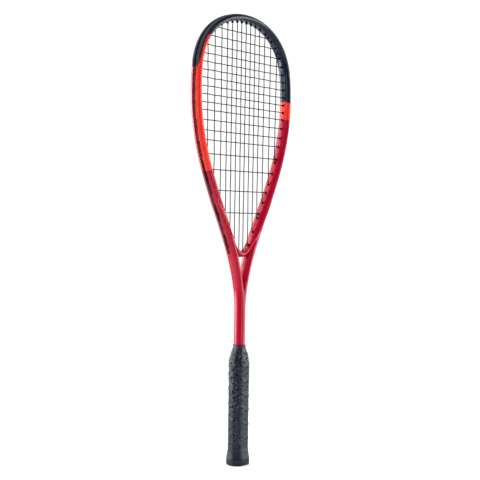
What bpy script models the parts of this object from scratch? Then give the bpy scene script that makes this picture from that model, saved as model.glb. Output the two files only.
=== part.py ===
"""Squash racket: hollow hairpin frame, throat bridge, bumper, grommet strips,
two lengths of string, handle pallets, butt cap, staples, grip and finishing tape.

Metres, +Z up along the shaft from the butt to the tip of the head.
X runs across the head, Y is normal to the string bed, the front face looks to -Y.
The origin is the middle of the flat underside of the butt cap.
"""
import math

import bpy
import bmesh
from mathutils import Matrix, Vector

# ---------------------------------------------------------------- dimensions
MM = 0.001

# centreline of the head tube, in the plane Y = 0
HEAD_HALF_WIDTH = 101.4 * MM      # widest point
HEAD_WIDEST_Z = 561.0 * MM
HEAD_TOP_Z = 679.7 * MM
HEAD_TOP_POWER_X = 2.0            # roundness of the top arc across
HEAD_TOP_POWER_Z = 2.9            # roundness of the top arc along
ARM_PULL_UPPER = 100.0 * MM       # how long the sides stay upright
ARM_PULL_LOWER = 78.5 * MM
THROAT_X = 16.2 * MM              # arm centreline where the throat starts
THROAT_Z = 314.4 * MM
THROAT_LEAN = math.radians(19.5)
FORK_Z = 236.0 * MM               # below this the two legs are one shaft
FORK_PULL_UPPER = 30.0 * MM
FORK_PULL_LOWER = 30.0 * MM
SHAFT_END_Z = 12.0 * MM

# tube sections: in-plane width and depth
HEAD_TUBE_WIDTH = 9.3 * MM
HEAD_TUBE_DEPTH = 18.5 * MM
ARM_FULL_Z = 345.0 * MM           # the arms are stoutest here
ARM_TUBE_WIDTH = 12.4 * MM
ARM_TUBE_DEPTH = 19.4 * MM
THROAT_TUBE_WIDTH = 11.4 * MM
THROAT_TUBE_DEPTH = 18.5 * MM
SHAFT_WIDTH = 14.8 * MM
SHAFT_DEPTH = 16.8 * MM
TUBE_POWER = 2.5                  # squareness of the rounded section
TUBE_WALL = 1.3 * MM
LEG_WEB = 0.7 * MM                # half of the web between the two legs

# outer string channel of the head tube
CHANNEL_DEPTH = 2.8 * MM
CHANNEL_FLOOR_HALF = 3.0 * MM
CHANNEL_MOUTH_HALF = 3.2 * MM
CHANNEL_END_Z = 327.0 * MM

# grommet strips and bumper
GAP = 0.3 * MM
STRIP_THICK = 0.8 * MM
STRIP_HALF = 2.65 * MM
GROOVE_HALF = 2.1 * MM
BUMPER_RISE = 1.1 * MM
BUMPER_HALF = 6.6 * MM
BUMPER_END_Z = 598.0 * MM
BARREL_R = 1.35 * MM
BARREL_PROUD = 1.2 * MM
BORE_R = 0.95 * MM
HOLE_R = 1.65 * MM
HOLE_MIN_PITCH = 5.5 * MM

# string bed: 14 mains and 18 crosses
STRING_R = 0.6 * MM
WEAVE = 1.35 * MM
LOOP_SIDE = 1.35 * MM
MAIN_FIRST = 5.1 * MM                                   # centre line to first main
MAIN_PITCHES = [10.2, 10.3, 10.8, 12.4, 14.4, 15.0]     # millimetres, outwards
CROSS_TOP_Z = 657.8 * MM
CROSS_PITCHES = [14.0, 14.0, 12.7, 12.3, 11.7, 11.7, 12.0, 12.0, 11.6,
                 11.5, 14.3, 15.1, 14.1, 20.2, 22.7, 30.5, 33.0]  # downwards

# throat bridge
BRIDGE_UNDERSIDE_Z = 317.6 * MM
BRIDGE_TOP_Z = 322.2 * MM
BRIDGE_WING_Z = 331.5 * MM
BRIDGE_DEPTH = 16.8 * MM

# handle
GRIP_BOTTOM_Z = 10.8 * MM
GRIP_FLARE_Z = 31.0 * MM
GRIP_FULL_Z = 153.0 * MM
GRIP_TOP_Z = 177.4 * MM
GRIP_X = 33.6 * MM
GRIP_Y = 29.0 * MM
GRIP_CHAMFER = 8.7 * MM
GRIP_TAPER_X = 13.0 * MM          # loss of width towards the top of the grip
GRIP_TAPER_Y = 9.6 * MM
GRIP_TAPER_CHAMFER = 3.3 * MM
GRIP_FLARE = 3.6 * MM             # growth of both widths at the butt
GRIP_THICK = 1.8 * MM
GRIP_TOP_THICK = 1.0 * MM
PALLET_BOTTOM_Z = 13.5 * MM
PALLET_TOP_Z = 171.5 * MM
PALLET_STEP = 1.5 * MM            # rebate that takes the cap's skirt
CAP_FLANGE_Z = 10.5 * MM
CAP_SKIRT_Z = 34.0 * MM
CAP_FLOOR = 3.0 * MM
CAP_SKIRT_THICK = 1.2 * MM
STAPLE_Z = 23.0 * MM
STAPLE_CROWN = 9.0 * MM
STAPLE_LEG = 5.6 * MM
STAPLE_WIRE = 0.6 * MM
TAPE_BOTTOM_Z = 177.7 * MM
TAPE_TOP_Z = 184.2 * MM
TAPE_THICK = 0.7 * MM

HEAD_STATIONS = 28
FORK_STATIONS = 7

# ------------------------------------------------------------------- scene
for old in list(bpy.data.objects):
    bpy.data.objects.remove(old, do_unlink=True)

parts = bpy.data.collections.new("squash_racket")
cutters = bpy.data.collections.new("cutters")
bpy.context.scene.collection.children.link(parts)
bpy.context.scene.collection.children.link(cutters)


def material(name, colour, roughness, metallic=0.0):
    mat = bpy.data.materials.new(name)
    mat.use_nodes = True
    shader = mat.node_tree.nodes["Principled BSDF"]
    shader.inputs["Base Color"].default_value = (*colour, 1.0)
    shader.inputs["Roughness"].default_value = roughness
    shader.inputs["Metallic"].default_value = metallic
    return mat


def put(name, mesh, mat=None, collection=parts):
    obj = bpy.data.objects.new(name, mesh)
    collection.objects.link(obj)
    if mat is not None:
        mesh.materials.clear()
        mesh.materials.append(mat)
    if collection is cutters:
        obj.hide_render = True
        obj.display_type = "WIRE"
    return obj


def finish(bm, name, smooth=35.0):
    mesh = bpy.data.meshes.new(name)
    bm.to_mesh(mesh)
    bm.free()
    mesh.shade_smooth()
    mesh.set_sharp_from_angle(angle=math.radians(smooth))
    return mesh


def loft(rings, close_start=True, close_end=True):
    """Closed skin over rings that all hold the same number of points."""
    bm = bmesh.new()
    rows = [[bm.verts.new(p) for p in ring] for ring in rings]
    count = len(rows[0])
    for a, b in zip(rows, rows[1:]):
        for j in range(count):
            k = (j + 1) % count
            bm.faces.new((a[j], a[k], b[k], b[j]))
    if close_start:
        bm.faces.new(list(reversed(rows[0])))
    if close_end:
        bm.faces.new(rows[-1])
    bmesh.ops.recalc_face_normals(bm, faces=bm.faces)
    return bm


def ring_shell(outer, inner):
    """Sleeve: the outer skin down one side, the inner skin back, both ends joined."""
    rings = list(outer) + list(reversed(inner))
    bm = bmesh.new()
    rows = [[bm.verts.new(p) for p in ring] for ring in rings]
    count = len(rows[0])
    for i in range(len(rows)):
        a, b = rows[i], rows[(i + 1) % len(rows)]
        for j in range(count):
            k = (j + 1) % count
            bm.faces.new((a[j], a[k], b[k], b[j]))
    bmesh.ops.recalc_face_normals(bm, faces=bm.faces)
    return bm


def rods(segments, radius, sides=6):
    """Many separate closed cylinders, one for each pair of end points."""
    bm = bmesh.new()
    for start, end in segments:
        axis = end - start
        turn = Vector((0, 0, 1)).rotation_difference(axis.normalized()).to_matrix().to_4x4()
        place = Matrix.Translation((start + end) / 2) @ turn
        bmesh.ops.create_cone(bm, cap_ends=True, cap_tris=False, segments=sides,
                              radius1=radius, radius2=radius, depth=axis.length,
                              matrix=place)
    return bm


def boolean(obj, cutter, operation):
    mod = obj.modifiers.new(operation.lower(), "BOOLEAN")
    mod.operation = operation
    mod.solver = "EXACT"
    mod.object = cutter
    return mod


# -------------------------------------------------------- head centreline
def cubic(p0, p1, p2, p3, t):
    u = 1.0 - t
    return tuple(u * u * u * a + 3 * u * u * t * b + 3 * u * t * t * c + t * t * t * d
                 for a, b, c, d in zip(p0, p1, p2, p3))


def half_line():
    """Dense centreline of the right half: apex, side, arm, fork, shaft end."""
    line = []
    for i in range(400):
        u = math.pi / 2 * (1 - i / 399)
        line.append((HEAD_HALF_WIDTH * max(0.0, math.cos(u)) ** (2 / HEAD_TOP_POWER_X),
                     HEAD_WIDEST_Z + (HEAD_TOP_Z - HEAD_WIDEST_Z)
                     * max(0.0, math.sin(u)) ** (2 / HEAD_TOP_POWER_Z)))
    line[0] = (0.0, HEAD_TOP_Z)
    widest = (HEAD_HALF_WIDTH, HEAD_WIDEST_Z)
    throat = (THROAT_X, THROAT_Z)
    up = (math.sin(THROAT_LEAN), math.cos(THROAT_LEAN))
    for i in range(1, 401):
        line.append(cubic(widest, (widest[0], widest[1] - ARM_PULL_UPPER),
                          (throat[0] + ARM_PULL_LOWER * up[0],
                           throat[1] + ARM_PULL_LOWER * up[1]), throat, i / 400))
    fork = (0.0, FORK_Z)
    for i in range(1, 201):
        line.append(cubic(throat, (throat[0] - FORK_PULL_UPPER * up[0],
                                   throat[1] - FORK_PULL_UPPER * up[1]),
                          (0.0, FORK_Z + FORK_PULL_LOWER), fork, i / 200))
    for i in range(1, 101):
        line.append((0.0, FORK_Z + (SHAFT_END_Z - FORK_Z) * i / 100))
    return line


LINE = half_line()
RUN = [0.0]
for (xa, za), (xb, zb) in zip(LINE, LINE[1:]):
    RUN.append(RUN[-1] + math.hypot(xb - xa, zb - za))
S_THROAT = RUN[799]
S_FORK = RUN[999]
S_END = RUN[-1]
S_ARM = next(run for run, (x, z) in zip(RUN[400:], LINE[400:]) if z <= ARM_FULL_Z)


def on_line(s):
    lo, hi = 0, len(RUN) - 1
    while hi - lo > 1:
        mid = (lo + hi) // 2
        if RUN[mid] <= s:
            lo = mid
        else:
            hi = mid
    t = (s - RUN[lo]) / (RUN[hi] - RUN[lo])
    xa, za = LINE[lo]
    xb, zb = LINE[hi]
    return Vector((xa + (xb - xa) * t, 0.0, za + (zb - za) * t))


def outward(s):
    """In-plane normal that points out of the head."""
    a = on_line(max(0.0, s - 0.0008))
    b = on_line(min(S_END, s + 0.0008))
    t = (b - a).normalized()
    if s < 1e-9:
        t = Vector((1.0, 0.0, 0.0))
    return Vector((-t.z, 0.0, t.x))


def blend(a, b, t):
    t = min(1.0, max(0.0, t))
    return a + (b - a) * t


def tube_size(s):
    """Width and depth of the tube at a length along the centreline."""
    if s <= S_ARM:
        t = s / S_ARM
        return (blend(HEAD_TUBE_WIDTH, ARM_TUBE_WIDTH, t),
                blend(HEAD_TUBE_DEPTH, ARM_TUBE_DEPTH, t))
    if s <= S_THROAT:
        t = (s - S_ARM) / (S_THROAT - S_ARM)
        return (blend(ARM_TUBE_WIDTH, THROAT_TUBE_WIDTH, t),
                blend(ARM_TUBE_DEPTH, THROAT_TUBE_DEPTH, t))
    t = (s - S_THROAT) / (S_FORK - S_THROAT)
    t = min(1.0, t)
    t = t * t * (3 - 2 * t)
    return (blend(THROAT_TUBE_WIDTH, SHAFT_WIDTH, t),
            blend(THROAT_TUBE_DEPTH, SHAFT_DEPTH, t))


STATIONS = [S_THROAT * i / HEAD_STATIONS for i in range(HEAD_STATIONS + 1)]
STATIONS += [S_THROAT + (S_FORK - S_THROAT) * i / FORK_STATIONS
             for i in range(1, FORK_STATIONS + 1)]
STATIONS.append(S_END)
CENTRES = [on_line(s) for s in STATIONS]
NORMALS = [outward(s) for s in STATIONS]
SIZES = [tube_size(s) for s in STATIONS]
CHANNEL_LAST = max(i for i, c in enumerate(CENTRES) if c.z >= CHANNEL_END_Z)
BUMPER_LAST = max(i for i, c in enumerate(CENTRES) if c.z >= BUMPER_END_Z)


def lay(s, side=1):
    """Station data between the faceted sections, so everything follows the facets."""
    s = min(max(s, 0.0), STATIONS[-1])
    i = 0
    while i < len(STATIONS) - 2 and STATIONS[i + 1] < s:
        i += 1
    t = (s - STATIONS[i]) / (STATIONS[i + 1] - STATIONS[i])
    c = CENTRES[i].lerp(CENTRES[i + 1], t)
    n = NORMALS[i].lerp(NORMALS[i + 1], t)
    w = blend(SIZES[i][0], SIZES[i + 1][0], t)
    d = blend(SIZES[i][1], SIZES[i + 1][1], t)
    return Vector((side * c.x, 0, c.z)), Vector((side * n.x, 0, n.z)), w, d


def at(s, n, y, side=1):
    c, v, _, _ = lay(s, side)
    return c + v * n + Vector((0.0, y, 0.0))


def floor_at(s):
    return lay(s)[2] / 2 - CHANNEL_DEPTH


# ------------------------------------------------------------------- frame
def rail(a, b, y):
    """Height of the rounded section above its centre at a depth y."""
    return a * max(0.0, 1 - abs(y / b) ** TUBE_POWER) ** (1 / TUBE_POWER)


def oval(a, b, angle):
    c, s = math.cos(angle), math.sin(angle)
    return (a * math.copysign(abs(c) ** (2 / TUBE_POWER), c),
            b * math.copysign(abs(s) ** (2 / TUBE_POWER), s))


def outer_section(i):
    a, b = SIZES[i][0] / 2, SIZES[i][1] / 2
    deep = CHANNEL_DEPTH if i <= CHANNEL_LAST else 0.0
    pts = [(rail(a, b, CHANNEL_FLOOR_HALF) - deep, -CHANNEL_FLOOR_HALF),
           (rail(a, b, CHANNEL_FLOOR_HALF) - deep, CHANNEL_FLOOR_HALF),
           (rail(a, b, CHANNEL_MOUTH_HALF), CHANNEL_MOUTH_HALF)]
    if deep:
        pts[0] = (a - deep, -CHANNEL_FLOOR_HALF)
        pts[1] = (a - deep, CHANNEL_FLOOR_HALF)
    half = [oval(a, b, math.radians(v)) for v in (44, 64, 90, 118, 146)]
    pts += half
    pts.append((-a, 0.0))
    pts += [(n, -y) for n, y in reversed(half)]
    pts.append((rail(a, b, CHANNEL_MOUTH_HALF), -CHANNEL_MOUTH_HALF))
    return pts


def inner_section(i):
    a, b = SIZES[i][0] / 2 - TUBE_WALL, SIZES[i][1] / 2 - TUBE_WALL
    deep = CHANNEL_DEPTH if i <= CHANNEL_LAST + 1 else 0.0
    shift, half = -deep / 2, a - deep / 2
    return [(shift + oval(half, b, math.radians(v))[0], oval(half, b, math.radians(v))[1])
            for v in (28, 62, 118, 152, 208, 242, 298, 332)]


def build_frame(mat):
    bm = bmesh.new()
    skins = []
    for section, inside in ((outer_section, False), (inner_section, True)):
        rows = []
        for i, (c, n) in enumerate(zip(CENTRES, NORMALS)):
            row = []
            for h, y in section(i):
                p = c + n * h + Vector((0.0, y, 0.0))
                if i == 0:
                    p.x = 0.0
                elif inside:
                    p.x = max(p.x, LEG_WEB)
                row.append(bm.verts.new(p))
            rows.append(row)
        for a, b in zip(rows, rows[1:]):
            for j in range(len(a)):
                k = (j + 1) % len(a)
                quad = (a[j], b[j], b[k], a[k])
                bm.faces.new(quad if inside else tuple(reversed(quad)))
        skins.append(rows)
    last = [skins[0][-1], skins[1][-1]]
    rim = [bm.edges.get((row[j], row[(j + 1) % len(row)])) for row in last
           for j in range(len(row))]
    fill = bmesh.ops.triangle_fill(bm, use_beauty=True, use_dissolve=False, edges=rim,
                                   normal=(0.0, 0.0, -1.0))
    for face in fill["geom"]:
        if isinstance(face, bmesh.types.BMFace):
            face.normal_update()
            if face.normal.z > 0:
                face.normal_flip()
    bm.normal_update()
    probe = next(f for f in bm.faces if skins[0][5][3] in f.verts)
    if probe.normal.dot(NORMALS[5]) < 0:
        bmesh.ops.reverse_faces(bm, faces=[f for f in bm.faces if f.normal.z > -0.99
                                           or abs(f.calc_center_median().z - SHAFT_END_Z) > 1e-5])
    obj = put("frame", finish(bm, "frame", 40.0), mat)
    mir = obj.modifiers.new("mirror", "MIRROR")
    mir.use_axis[0] = True
    mir.use_bisect_axis[0] = True
    mir.use_mirror_merge = True
    mir.bisect_threshold = 0.000001
    mir.merge_threshold = 0.00001
    return obj


# ----------------------------------------------------------- string layout
MAIN_X = [MAIN_FIRST]
for pitch in MAIN_PITCHES:
    MAIN_X.append(MAIN_X[-1] + pitch * MM)
CROSS_Z = [CROSS_TOP_Z]
for pitch in CROSS_PITCHES:
    CROSS_Z.append(CROSS_Z[-1] - pitch * MM)


def mouth(s, side=1):
    """Point just inside the head, in front of a grommet."""
    return at(s, -lay(s)[2] / 2 - BARREL_PROUD - 0.3 * MM, 0.0, side)


def solve(test, lo, hi):
    """Length along the centreline where test changes sign between lo and hi."""
    sign = test(lo) > 0
    for _ in range(60):
        mid = (lo + hi) / 2
        if (test(mid) > 0) == sign:
            lo = mid
        else:
            hi = mid
    return (lo + hi) / 2


S_WIDE = RUN[399]
holes = []                                    # [length, kind, number]
for k, x in enumerate(MAIN_X):
    holes.append([solve(lambda s: mouth(s).x - x, 0.0, S_WIDE), "top", k])
    if k:
        reach = (0.5 - 0.44 * (6 - k)) * MM    # towards the throat the strings bend less
        holes.append([solve(lambda s: at(s, reach - lay(s)[2] / 2, 0.0).x - x,
                            S_WIDE, S_THROAT), "bottom", k])
for k, z in enumerate(CROSS_Z):
    holes.append([solve(lambda s: mouth(s).z - z, 0.0, S_THROAT), "cross", k])
holes.sort(key=lambda h: h[0])
for _ in range(400):                          # neighbours keep their distance
    for a, b in zip(holes, holes[1:]):
        near = HOLE_MIN_PITCH - (b[0] - a[0])
        if near > 0:
            a[0] -= near / 2
            b[0] += near / 2
HOLE = {(kind, k): s for s, kind, k in holes}


# ----------------------------------------------------------- grommet strips
def strip_section(i):
    low = SIZES[i][0] / 2 - CHANNEL_DEPTH + GAP
    return [(low, -STRIP_HALF), (low, STRIP_HALF),
            (low + STRIP_THICK, STRIP_HALF), (low + STRIP_THICK, -STRIP_HALF)]


def bumper_section(i):
    a, b = SIZES[i][0] / 2, SIZES[i][1] / 2
    low = a - CHANNEL_DEPTH + GAP
    half = [(low, STRIP_HALF),
            (rail(a, b, STRIP_HALF) + GAP, STRIP_HALF),
            (rail(a, b, 4.8 * MM) + GAP, 4.8 * MM),
            (rail(a, b, BUMPER_HALF) + GAP, BUMPER_HALF),
            (rail(a, b, BUMPER_HALF) + 0.7 * MM, BUMPER_HALF),
            (rail(a, b, 4.6 * MM) + BUMPER_RISE, 4.6 * MM),
            (a + BUMPER_RISE, 2.7 * MM),
            (low + STRIP_THICK, GROOVE_HALF)]
    return half + [(n, -y) for n, y in reversed(half)]


def along(section, first, last, side):
    return [[Vector((side * (CENTRES[i] + NORMALS[i] * n).x, y, (CENTRES[i] + NORMALS[i] * n).z))
             for n, y in section(i)] for i in range(first, last + 1)]


def barrels_for(first_s, last_s, sides):
    """Axes of the grommet barrels between two lengths on the given sides."""
    found = []
    for (kind, k), s in HOLE.items():
        if first_s < s <= last_s:
            for side in sides:
                found.append((s, side))
    return found


def grommet_piece(name, bm, wanted, mat):
    obj = put(name, finish(bm, name, 40.0), mat)
    tubes = [(at(s, floor_at(s) + GAP + STRIP_THICK / 2, 0, side),
              at(s, -lay(s)[2] / 2 - BARREL_PROUD, 0, side)) for s, side in wanted]
    bores = [(at(s, floor_at(s) + 3.0 * MM, 0, side),
              at(s, -lay(s)[2] / 2 - BARREL_PROUD - 1.0 * MM, 0, side)) for s, side in wanted]
    boolean(obj, put(name + "_barrels", finish(rods(tubes, BARREL_R), name + "_barrels"),
                     None, cutters), "UNION")
    boolean(obj, put(name + "_bores", finish(rods(bores, BORE_R), name + "_bores"),
                     None, cutters), "DIFFERENCE")
    return obj


# ------------------------------------------------------------------ strings
def string_object(name, points, mat):
    curve = bpy.data.curves.new(name, "CURVE")
    curve.dimensions = "3D"
    curve.bevel_depth = STRING_R
    curve.bevel_resolution = 1
    curve.resolution_u = 1
    curve.use_fill_caps = True
    spline = curve.splines.new("POLY")
    spline.points.add(len(points) - 1)
    for slot, p in zip(spline.points, points):
        slot.co = (*p, 1.0)
    curve.materials.append(mat)
    obj = bpy.data.objects.new(name, curve)
    parts.objects.link(obj)
    return obj


def loop_height(s):
    return floor_at(s) + GAP + STRIP_THICK + 0.25 * MM + STRING_R


def outside_loop(sa, side_a, sb, side_b, offset):
    """Run of string in the outer groove between two grommets, kept to one side."""
    a, b = sa * side_a, sb * side_b
    step = 2.4 * MM if b > a else -2.4 * MM
    inner = [a + step, b - step]
    marks = sorted([s * k for s in STATIONS for k in (1, -1) if
                    min(inner) + 1.0 * MM < s * k < max(inner) - 1.0 * MM],
                   reverse=b < a)
    stops = [inner[0]] + [m for i, m in enumerate(marks) if i == 0 or abs(m - marks[i - 1]) > 1e-6] \
        + [inner[1]]
    pts = []
    for u in stops:
        side = 1 if u >= 0 else -1
        pts.append(at(abs(u), loop_height(abs(u)), offset, side))
    return pts


def through(s, side):
    """Outer and inner end of the run through a grommet."""
    return [at(s, loop_height(s), 0.0, side),
            mouth(s, side)]


def main_ends(i):
    """Side and number from the middle of main i, counted from the left."""
    return (-1, 6 - i) if i < 7 else (1, i - 7)


BRIDGE_LOOP_Z = BRIDGE_UNDERSIDE_Z - 2 * GAP - STRIP_THICK - STRING_R


def main_low(i):
    side, k = main_ends(i)
    if k == 0:
        x = side * MAIN_FIRST
        return [Vector((x, 0, BRIDGE_LOOP_Z)), Vector((x, 0, BRIDGE_TOP_Z + 1.8 * MM))]
    return through(HOLE[("bottom", k)], side)


def main_high(i):
    side, k = main_ends(i)
    return through(HOLE[("top", k)], side)


def tail(s, side, offset, sense):
    u = s * side + sense * 2.4 * MM
    v = s * side + sense * 6.0 * MM
    return [at(abs(w), loop_height(abs(w)), offset, 1 if w >= 0 else -1) for w in (v, u)]


def main_points():
    pts = []
    side, k = main_ends(0)
    pts += tail(HOLE[("top", k)], side, LOOP_SIDE, -1)
    for i in range(14):
        high, low = main_high(i), main_low(i)
        if i % 2 == 0:                         # downwards
            pts += high + list(reversed(low))
        else:                                  # upwards
            pts += low + list(reversed(high))
        if i == 13:
            break
        (side_a, ka), (side_b, kb) = main_ends(i), main_ends(i + 1)
        if i % 2 == 0:
            if ka:
                pts += outside_loop(HOLE[("bottom", ka)], side_a,
                                    HOLE[("bottom", kb)], side_b, LOOP_SIDE)
        else:
            pts += outside_loop(HOLE[("top", ka)], side_a, HOLE[("top", kb)], side_b, LOOP_SIDE)
    side, k = main_ends(13)
    pts += list(reversed(tail(HOLE[("top", k)], side, LOOP_SIDE, 1)))
    return pts


def main_run(i):
    return main_high(i)[1], main_low(i)[1]


def cross_points():
    pts = list(tail(HOLE[("cross", 0)], -1, -LOOP_SIDE, 1))
    for j in range(18):
        s = HOLE[("cross", j)]
        sense = 1 if j % 2 == 0 else -1        # +1 runs from the left to the right
        start, end = through(s, -sense), through(s, sense)
        pts += start
        a, b = start[1], end[1]
        order = range(14) if sense > 0 else range(13, -1, -1)
        for i in order:
            high, low = main_run(i)
            t = (a.z - high.z) / (low.z - high.z)
            if not 0.0 < t < 1.0:
                continue
            x = high.x + (low.x - high.x) * t
            if not min(a.x, b.x) + 1.0 * MM < x < max(a.x, b.x) - 1.0 * MM:
                continue
            pts.append(Vector((x, WEAVE if (i + j) % 2 else -WEAVE, a.z)))
        pts += list(reversed(end))
        if j < 17:
            pts += outside_loop(s, sense, HOLE[("cross", j + 1)], sense, -LOOP_SIDE)
    pts += list(reversed(tail(HOLE[("cross", 17)], -1, -LOOP_SIDE, 1)))
    return pts


# ------------------------------------------------------------- throat bridge
def arm_face(z):
    """X of the inner face of the right arm at a height, on the facets."""
    s = solve(lambda v: at(v, -lay(v)[2] / 2, 0).z - z, S_WIDE, S_THROAT + 0.03)
    return at(s, -lay(s)[2] / 2, 0).x


def bridge_outline():
    edge = []
    for i in range(6):
        z = BRIDGE_WING_Z + (BRIDGE_UNDERSIDE_Z + 0.4 * MM - BRIDGE_WING_Z) * i / 5
        edge.append((arm_face(z) - GAP, z))
    edge.append((edge[-1][0] - 1.4 * MM, BRIDGE_UNDERSIDE_Z))
    right = list(edge)
    top_x = edge[0][0] - 0.9 * MM
    upper = []
    for i in range(9):
        x = -top_x + 2 * top_x * i / 8
        upper.append((x, BRIDGE_TOP_Z + (BRIDGE_WING_Z - BRIDGE_TOP_Z) * abs(x / top_x) ** 2.4))
    left = [(-x, z) for x, z in reversed(right)]
    return upper + right + left


def bridge_object(mat):
    outline = bridge_outline()
    half = BRIDGE_DEPTH / 2
    bm = loft([[Vector((x, y, z)) for x, z in outline] for y in (-half, half)])
    bmesh.ops.triangulate(bm, faces=[f for f in bm.faces if len(f.verts) > 4])
    obj = put("throat_bridge", finish(bm, "throat_bridge", 30.0), mat)
    drills = [(Vector((x, 0, BRIDGE_UNDERSIDE_Z - 3 * MM)), Vector((x, 0, BRIDGE_TOP_Z + 6 * MM)))
              for x in (-MAIN_FIRST, MAIN_FIRST)]
    boolean(obj, put("bridge_holes", finish(rods(drills, HOLE_R), "bridge_holes"),
                     None, cutters), "DIFFERENCE")
    return obj


def bridge_grommet_object(mat):
    bm = bmesh.new()
    size = (2 * 8.0 * MM, 2 * STRIP_HALF, STRIP_THICK)
    middle = BRIDGE_UNDERSIDE_Z - GAP - STRIP_THICK / 2
    bmesh.ops.create_cube(bm, size=1.0, matrix=Matrix.Translation((0, 0, middle))
                          @ Matrix.Diagonal((*size, 1.0)))
    obj = put("bridge_grommets", finish(bm, "bridge_grommets"), mat)
    xs = (-MAIN_FIRST, MAIN_FIRST)
    tubes = [(Vector((x, 0, middle)), Vector((x, 0, BRIDGE_TOP_Z + BARREL_PROUD + 0.4 * MM))) for x in xs]
    bores = [(Vector((x, 0, middle - 3 * MM)), Vector((x, 0, BRIDGE_TOP_Z + 4 * MM))) for x in xs]
    boolean(obj, put("bridge_barrels", finish(rods(tubes, BARREL_R), "bridge_barrels"),
                     None, cutters), "UNION")
    boolean(obj, put("bridge_bores", finish(rods(bores, BORE_R), "bridge_bores"),
                     None, cutters), "DIFFERENCE")
    return obj


# ------------------------------------------------------------------- handle
def octagon(x, y, chamfer, z):
    hx, hy = x / 2, y / 2
    return [Vector(p) for p in (
        (hx, -hy + chamfer, z), (hx, hy - chamfer, z), (hx - chamfer, hy, z),
        (-hx + chamfer, hy, z), (-hx, hy - chamfer, z), (-hx, -hy + chamfer, z),
        (-hx + chamfer, -hy, z), (hx - chamfer, -hy, z))]


def grip_size(z):
    """Outer widths of the grip at a height: flare, straight, round shoulder."""
    if z < GRIP_FLARE_Z:
        t = (GRIP_FLARE_Z - z) / (GRIP_FLARE_Z - GRIP_BOTTOM_Z)
        grow = GRIP_FLARE * t * t
        return GRIP_X + grow, GRIP_Y + grow, GRIP_CHAMFER + grow * 0.25
    if z <= GRIP_FULL_Z:
        return GRIP_X, GRIP_Y, GRIP_CHAMFER
    t = (z - GRIP_FULL_Z) / (GRIP_TOP_Z - GRIP_FULL_Z)
    part = t ** 1.8
    return (GRIP_X - GRIP_TAPER_X * part, GRIP_Y - GRIP_TAPER_Y * part,
            GRIP_CHAMFER - GRIP_TAPER_CHAMFER * part)


def inset(size, by):
    return size[0] - 2 * by, size[1] - 2 * by, size[2] - 2 * by * (1 - math.sqrt(0.5))


GRIP_ZS = [GRIP_BOTTOM_Z, 15.0 * MM, 21.0 * MM, GRIP_FLARE_Z, GRIP_FULL_Z,
           160.0 * MM, 166.0 * MM, PALLET_TOP_Z, GRIP_TOP_Z]


def grip_wall(z):
    return blend(GRIP_THICK, GRIP_TOP_THICK, (z - PALLET_TOP_Z) / (GRIP_TOP_Z - PALLET_TOP_Z))


def grip_inner(z):
    if z < GRIP_FLARE_Z:
        return inset((GRIP_X, GRIP_Y, GRIP_CHAMFER), GRIP_THICK)
    return inset(grip_size(z), grip_wall(z))


def grip_object(mat):
    outer = [octagon(*grip_size(z), z) for z in GRIP_ZS]
    inner = [octagon(*grip_inner(z), z) for z in GRIP_ZS]
    return put("grip_tape", finish(ring_shell(outer, inner), "grip_tape", 50.0), mat)


def pallet_size(z):
    return inset(grip_inner(z), GAP)


def pallet_object(name, side, mat):
    """Half of the handle core: octagon outside, seat of the shaft inside."""
    cut = GAP / 2

    def section(size, z):
        x, y, ch = size
        hx, hy = x / 2, y / 2
        out = [(hx, cut), (hx, hy / 2 - ch / 2), (hx, hy - ch), (hx - ch, hy), (-hx + ch, hy),
               (-hx, hy - ch), (-hx, hy / 2 - ch / 2), (-hx, cut)]
        seat = []
        for i in range(8):
            ang = math.pi * i / 7
            n, d = oval(SHAFT_WIDTH / 2 + GAP, SHAFT_DEPTH / 2 + GAP, ang)
            seat.append((n, max(d, cut)))
        return ([Vector((px, side * py, z)) for px, py in out],
                [Vector((px, side * py, z)) for px, py in seat])

    small = inset(pallet_size(GRIP_FLARE_Z), PALLET_STEP)
    step = CAP_SKIRT_Z + GAP
    levels = [(small, PALLET_BOTTOM_Z), (small, step),
              (pallet_size(step), step + 0.05 * MM), (pallet_size(GRIP_FULL_Z), GRIP_FULL_Z)]
    levels += [(pallet_size(z), z) for z in (160.0 * MM, 166.0 * MM, PALLET_TOP_Z)]
    rings = []
    for size, z in levels:
        out, seat = section(size, z)
        rings.append((out, seat))
    bm = bmesh.new()
    rows = [([bm.verts.new(p) for p in o], [bm.verts.new(p) for p in s]) for o, s in rings]
    for (oa, sa), (ob, sb) in zip(rows, rows[1:]):
        for j in range(7):
            bm.faces.new((oa[j], oa[j + 1], ob[j + 1], ob[j]))
            bm.faces.new((sa[j + 1], sa[j], sb[j], sb[j + 1]))
        bm.faces.new((sa[0], oa[0], ob[0], sb[0]))
        bm.faces.new((oa[7], sa[7], sb[7], ob[7]))
    for o, s in (rows[0], rows[-1]):
        for j in range(7):
            bm.faces.new((o[j], s[j], s[j + 1], o[j + 1]))
    bmesh.ops.recalc_face_normals(bm, faces=bm.faces)
    return put(name, finish(bm, name, 30.0), mat)


def cap_object(mat):
    flange = grip_size(GRIP_BOTTOM_Z)
    skirt_in = inset(inset(pallet_size(GRIP_FLARE_Z), PALLET_STEP), -GAP)
    skirt_out = inset(skirt_in, -CAP_SKIRT_THICK)
    rings = [octagon(*inset(flange, 2.2 * MM), 0.0),
             octagon(*inset(flange, 0.8 * MM), 0.7 * MM),
             octagon(*inset(flange, 0.1 * MM), 2.4 * MM),
             octagon(*flange, 5.0 * MM),
             octagon(*flange, CAP_FLANGE_Z),
             octagon(*skirt_out, CAP_FLANGE_Z),
             octagon(*skirt_out, CAP_SKIRT_Z),
             octagon(*skirt_in, CAP_SKIRT_Z),
             octagon(*skirt_in, CAP_FLOOR)]
    return put("butt_cap", finish(loft(rings), "butt_cap", 40.0), mat), skirt_out


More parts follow.
